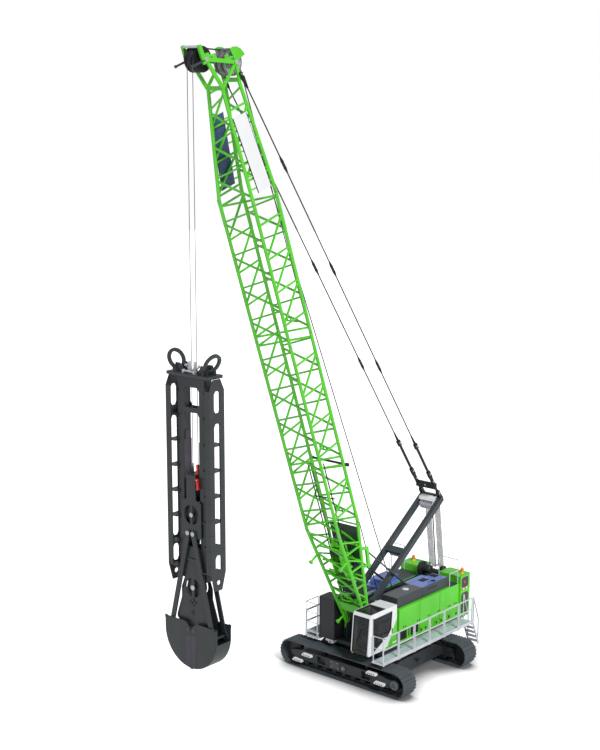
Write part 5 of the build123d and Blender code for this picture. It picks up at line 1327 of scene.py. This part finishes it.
# %% [markdown]
# ## Top of the grab
# Silver clamps hold the two ropes above the head plate, with a cross pin in front. The edge of
# the head plate is a wear strip of a brownish steel.

# %% Rope clamps and head strips
GRAB_Y = -11.35
clamps = Steelwork()
for x in (-0.14, 0.14):
    clamps.box((x - 0.06, GRAB_Y - 0.16, 15.0), (x + 0.06, GRAB_Y - 0.03, 15.2))
    clamps.box((x - 0.045, GRAB_Y - 0.13, 15.2), (x + 0.045, GRAB_Y - 0.03, 15.4))
    for z in (15.06, 15.3):
        clamps.bar((x, GRAB_Y - 0.18, z), (x, GRAB_Y - 0.12, z), 0.03, 6)
for x, z in ((-0.3, 15.24), (0.4, 15.26)):
    clamps.bar((x - 0.07, GRAB_Y - 0.1, z), (x + 0.07, GRAB_Y - 0.1, z), 0.05, 14)
    clamps.beam((x, GRAB_Y - 0.1, z), (x * 0.6, GRAB_Y - 0.1, z - 0.12), 0.04, 0.05)
clamps.bar((-0.26, GRAB_Y - 0.28, 15.06), (0.26, GRAB_Y - 0.28, 15.06), 0.042, 14)
for x in (-0.28, 0.28):
    clamps.box((x - 0.03, GRAB_Y - 0.34, 14.98), (x + 0.03, GRAB_Y - 0.22, 15.12))
piece(clamps, "rope_clamps", "grab", SILVER, 0.008)

strips = Steelwork()
for side in (-1, 1):
    y = GRAB_Y + side * 0.39
    strips.box((-1.08, y, 14.875), (1.08, y + side * 0.012, 14.965))
    for z, top, half in ((10.87, 12.40, 0.19), (12.40, 12.75, 0.11)):
        strips.box((side * 0.378, GRAB_Y - half, z), (side * 0.4195, GRAB_Y + half, top))
piece(strips, "wear_strips", "grab", MAUVE, 0.004)

# %% [markdown]
# ## Columns and posts
# The columns are welded from sections, which shows as fine dark lines across the flange. The
# guide posts have notches at each rung, drawn as black boxes: painted shade in the cuts.

# %% Section lines, and painted shade for the notches
SECTIONS_Z = [7.75 + index * 0.6 for index in range(11)]
RUNGS_Z = [7.33 + index * 0.985 for index in range(8)]
# Thin lines across the flanges are the weld joints; the boxes at each rung are painted notch shade
lines = Steelwork()
for side in (-1, 1):
    for face in (-1, 1):
        y = GRAB_Y + face * 0.39
        for z in SECTIONS_Z:
            lines.box((side * 0.892, y, z), (side * 1.148, y + face * 0.003, z + 0.008))
        y = GRAB_Y + face * 0.2
        for z in RUNGS_Z:
            lines.box((side * 0.62, y, z), (side * 0.70, y + face * 0.004, z + 0.16))
    outer = side * 1.15
    for z in SECTIONS_Z:
        for y in (GRAB_Y - 0.385, GRAB_Y + 0.16):
            lines.box((outer, y, z), (outer + side * 0.003, y + 0.225, z + 0.008))
piece(lines, "section_lines_and_notch_shade", "grab", BLACK)

# %% [markdown]
# ## Sheaves, pins and sockets
# The hubs of the rope sheaves and the heads of the arm pins are bare bright steel. Two red
# sockets sit where the ropes end in the sliding carriage.

# %% Hubs, pin heads, rope sockets, and painted shade for the lower body's holes
hubs = Steelwork()
# Black discs on the grab's lower body stand for its holes: painted shade
body_hole_shade = Steelwork()
for face in (-1, 1):
    hubs.turned(
        [(0.241, 0.10), (0.262, 0.10), (0.262, 0.06), (0.285, 0.05)], 1, (0, GRAB_Y, 6.66), 20, face)
    body_hole_shade.turned([(0.235, 0.11), (0.243, 0.11)], 1, (0, GRAB_Y, 5.67), 24, face)
    for x in (-0.34, 0.34):
        body_hole_shade.turned([(0.235, 0.05), (0.243, 0.05)], 1, (x, GRAB_Y, 5.3), 16, face)
piece(hubs, "body_hubs", "grab", SILVER)
piece(body_hole_shade, "body_holes_painted_shade", "grab", BLACK)

latch = Steelwork()
for face in (-1, 1):
    span = sorted((GRAB_Y + face * 0.235, GRAB_Y + face * 0.28))
    latch.box((-0.18, span[0], 6.03), (0.18, span[1], 6.12))
    latch.box((-0.05, span[0], 5.92), (0.05, span[1], 6.22))
    latch.plate([(-0.3, 7.75), (0.3, 7.75), (0.24, 7.83), (-0.24, 7.83)], 1, span[0], span[1])
piece(latch, "body_latches", "grab", "grab_charcoal", 0.008)

heads = Steelwork()
for face in (-1, 1):
    heads.turned([(0.272, 0.09), (0.295, 0.09), (0.31, 0.05)], 1, (0, GRAB_Y, 9.55), 20, face)
    for x in (-0.137, 0.137):
        heads.turned([(0.356, 0.09), (0.376, 0.09), (0.39, 0.06)], 1, (x, GRAB_Y, 8.84), 20, face)
piece(heads, "carriage_pin_heads", "carriage", SILVER)

sockets = Steelwork()
for x in (-0.14, 0.14):
    sockets.bar((x, GRAB_Y, 11.09), (x, GRAB_Y, 11.5), 0.05, 12, 0.024)
sockets.box((-0.2, GRAB_Y - 0.24, 11.08), (0.2, GRAB_Y + 0.24, 11.13))
piece(sockets, "rope_sockets", "carriage", "grab_charcoal")
red_sockets = Steelwork()
for (x0, z0), (x1, z1), front in (
        ((0.235, 11.50), (0.19, 11.12), 0.12), ((0.36, 11.02), (0.40, 10.6), 0.30)):
    y = GRAB_Y - front
    red_sockets.beam((x0, y, z0), (x1, y, z1), 0.075, 0.07)
    red_sockets.bar((x0 - 0.05, y, z0 - 0.05), (x0 + 0.05, y, z0 - 0.05), 0.06, 12)
    red_sockets.bar((x1, y - 0.05, z1 + 0.04), (x1, y + 0.05, z1 + 0.04), 0.05, 12)
piece(red_sockets, "red_rope_sockets", "carriage", RED, 0.008)

# %% [markdown]
# ## Clamshells
# A wear strip runs down each side of the closing line, teeth interlock under it, and bolts and
# corner ears break up the flat cheeks. Everything is made once and mirrored, since each half
# turns with its own body.

# %% Wear strips, bolts, ears and teeth
STRIP = ((0.006, 3.475), (0.27, 3.50), (0.27, 4.76), (0.24, 4.79), (0.006, 4.79))
TOOTH_X = (0.006, 0.13)
# Rings of each bolt, its x and z on the left half, and sides
BOLTS = [
    (((0.39, 0.085), (0.41, 0.085), (0.42, 0.05)), 0.15, 5.0, 18),
    (((0.39, 0.055), (0.41, 0.055)), 1.2, 4.6, 16)]
for x, z in ((0.45, 4.42), (0.62, 4.36), (0.45, 4.22), (0.62, 4.16)):
    BOLTS.append((((0.39, 0.022), (0.4, 0.022)), x, z, 8))
for side, body in ((1, "left_shell"), (-1, "right_shell")):
    strip = Steelwork()
    bolts = Steelwork()
    ears = Steelwork()
    for face in (-1, 1):
        y = GRAB_Y + face * 0.39
        span = sorted((y - face * 0.004, y + face * 0.008))
        strip.plate([(side * x, z) for x, z in STRIP], 1, *span)
        for rings, x, z, count in BOLTS:
            bolts.turned(rings, 1, (side * x, GRAB_Y, z), count, face)
        ears.box((side * 1.26, span[0], 5.2), (side * 1.395, span[1], 5.34))
        ears.box((side * 0.32, span[0], 5.27), (side * 1.37, span[1], 5.315))
    for index in range(3):
        y = GRAB_Y - 0.33 + (0.13 if side > 0 else 0.0) + index * 0.26
        ears.box((side * TOOTH_X[0], y, 3.395), (side * TOOTH_X[1], y + 0.1, 3.5))
    piece(strip, body + "_wear_strip", body, MAUVE)
    piece(bolts, body + "_bolts", body, "track_steel")
    piece(ears, body + "_ears", body, "grab_charcoal", 0.004)
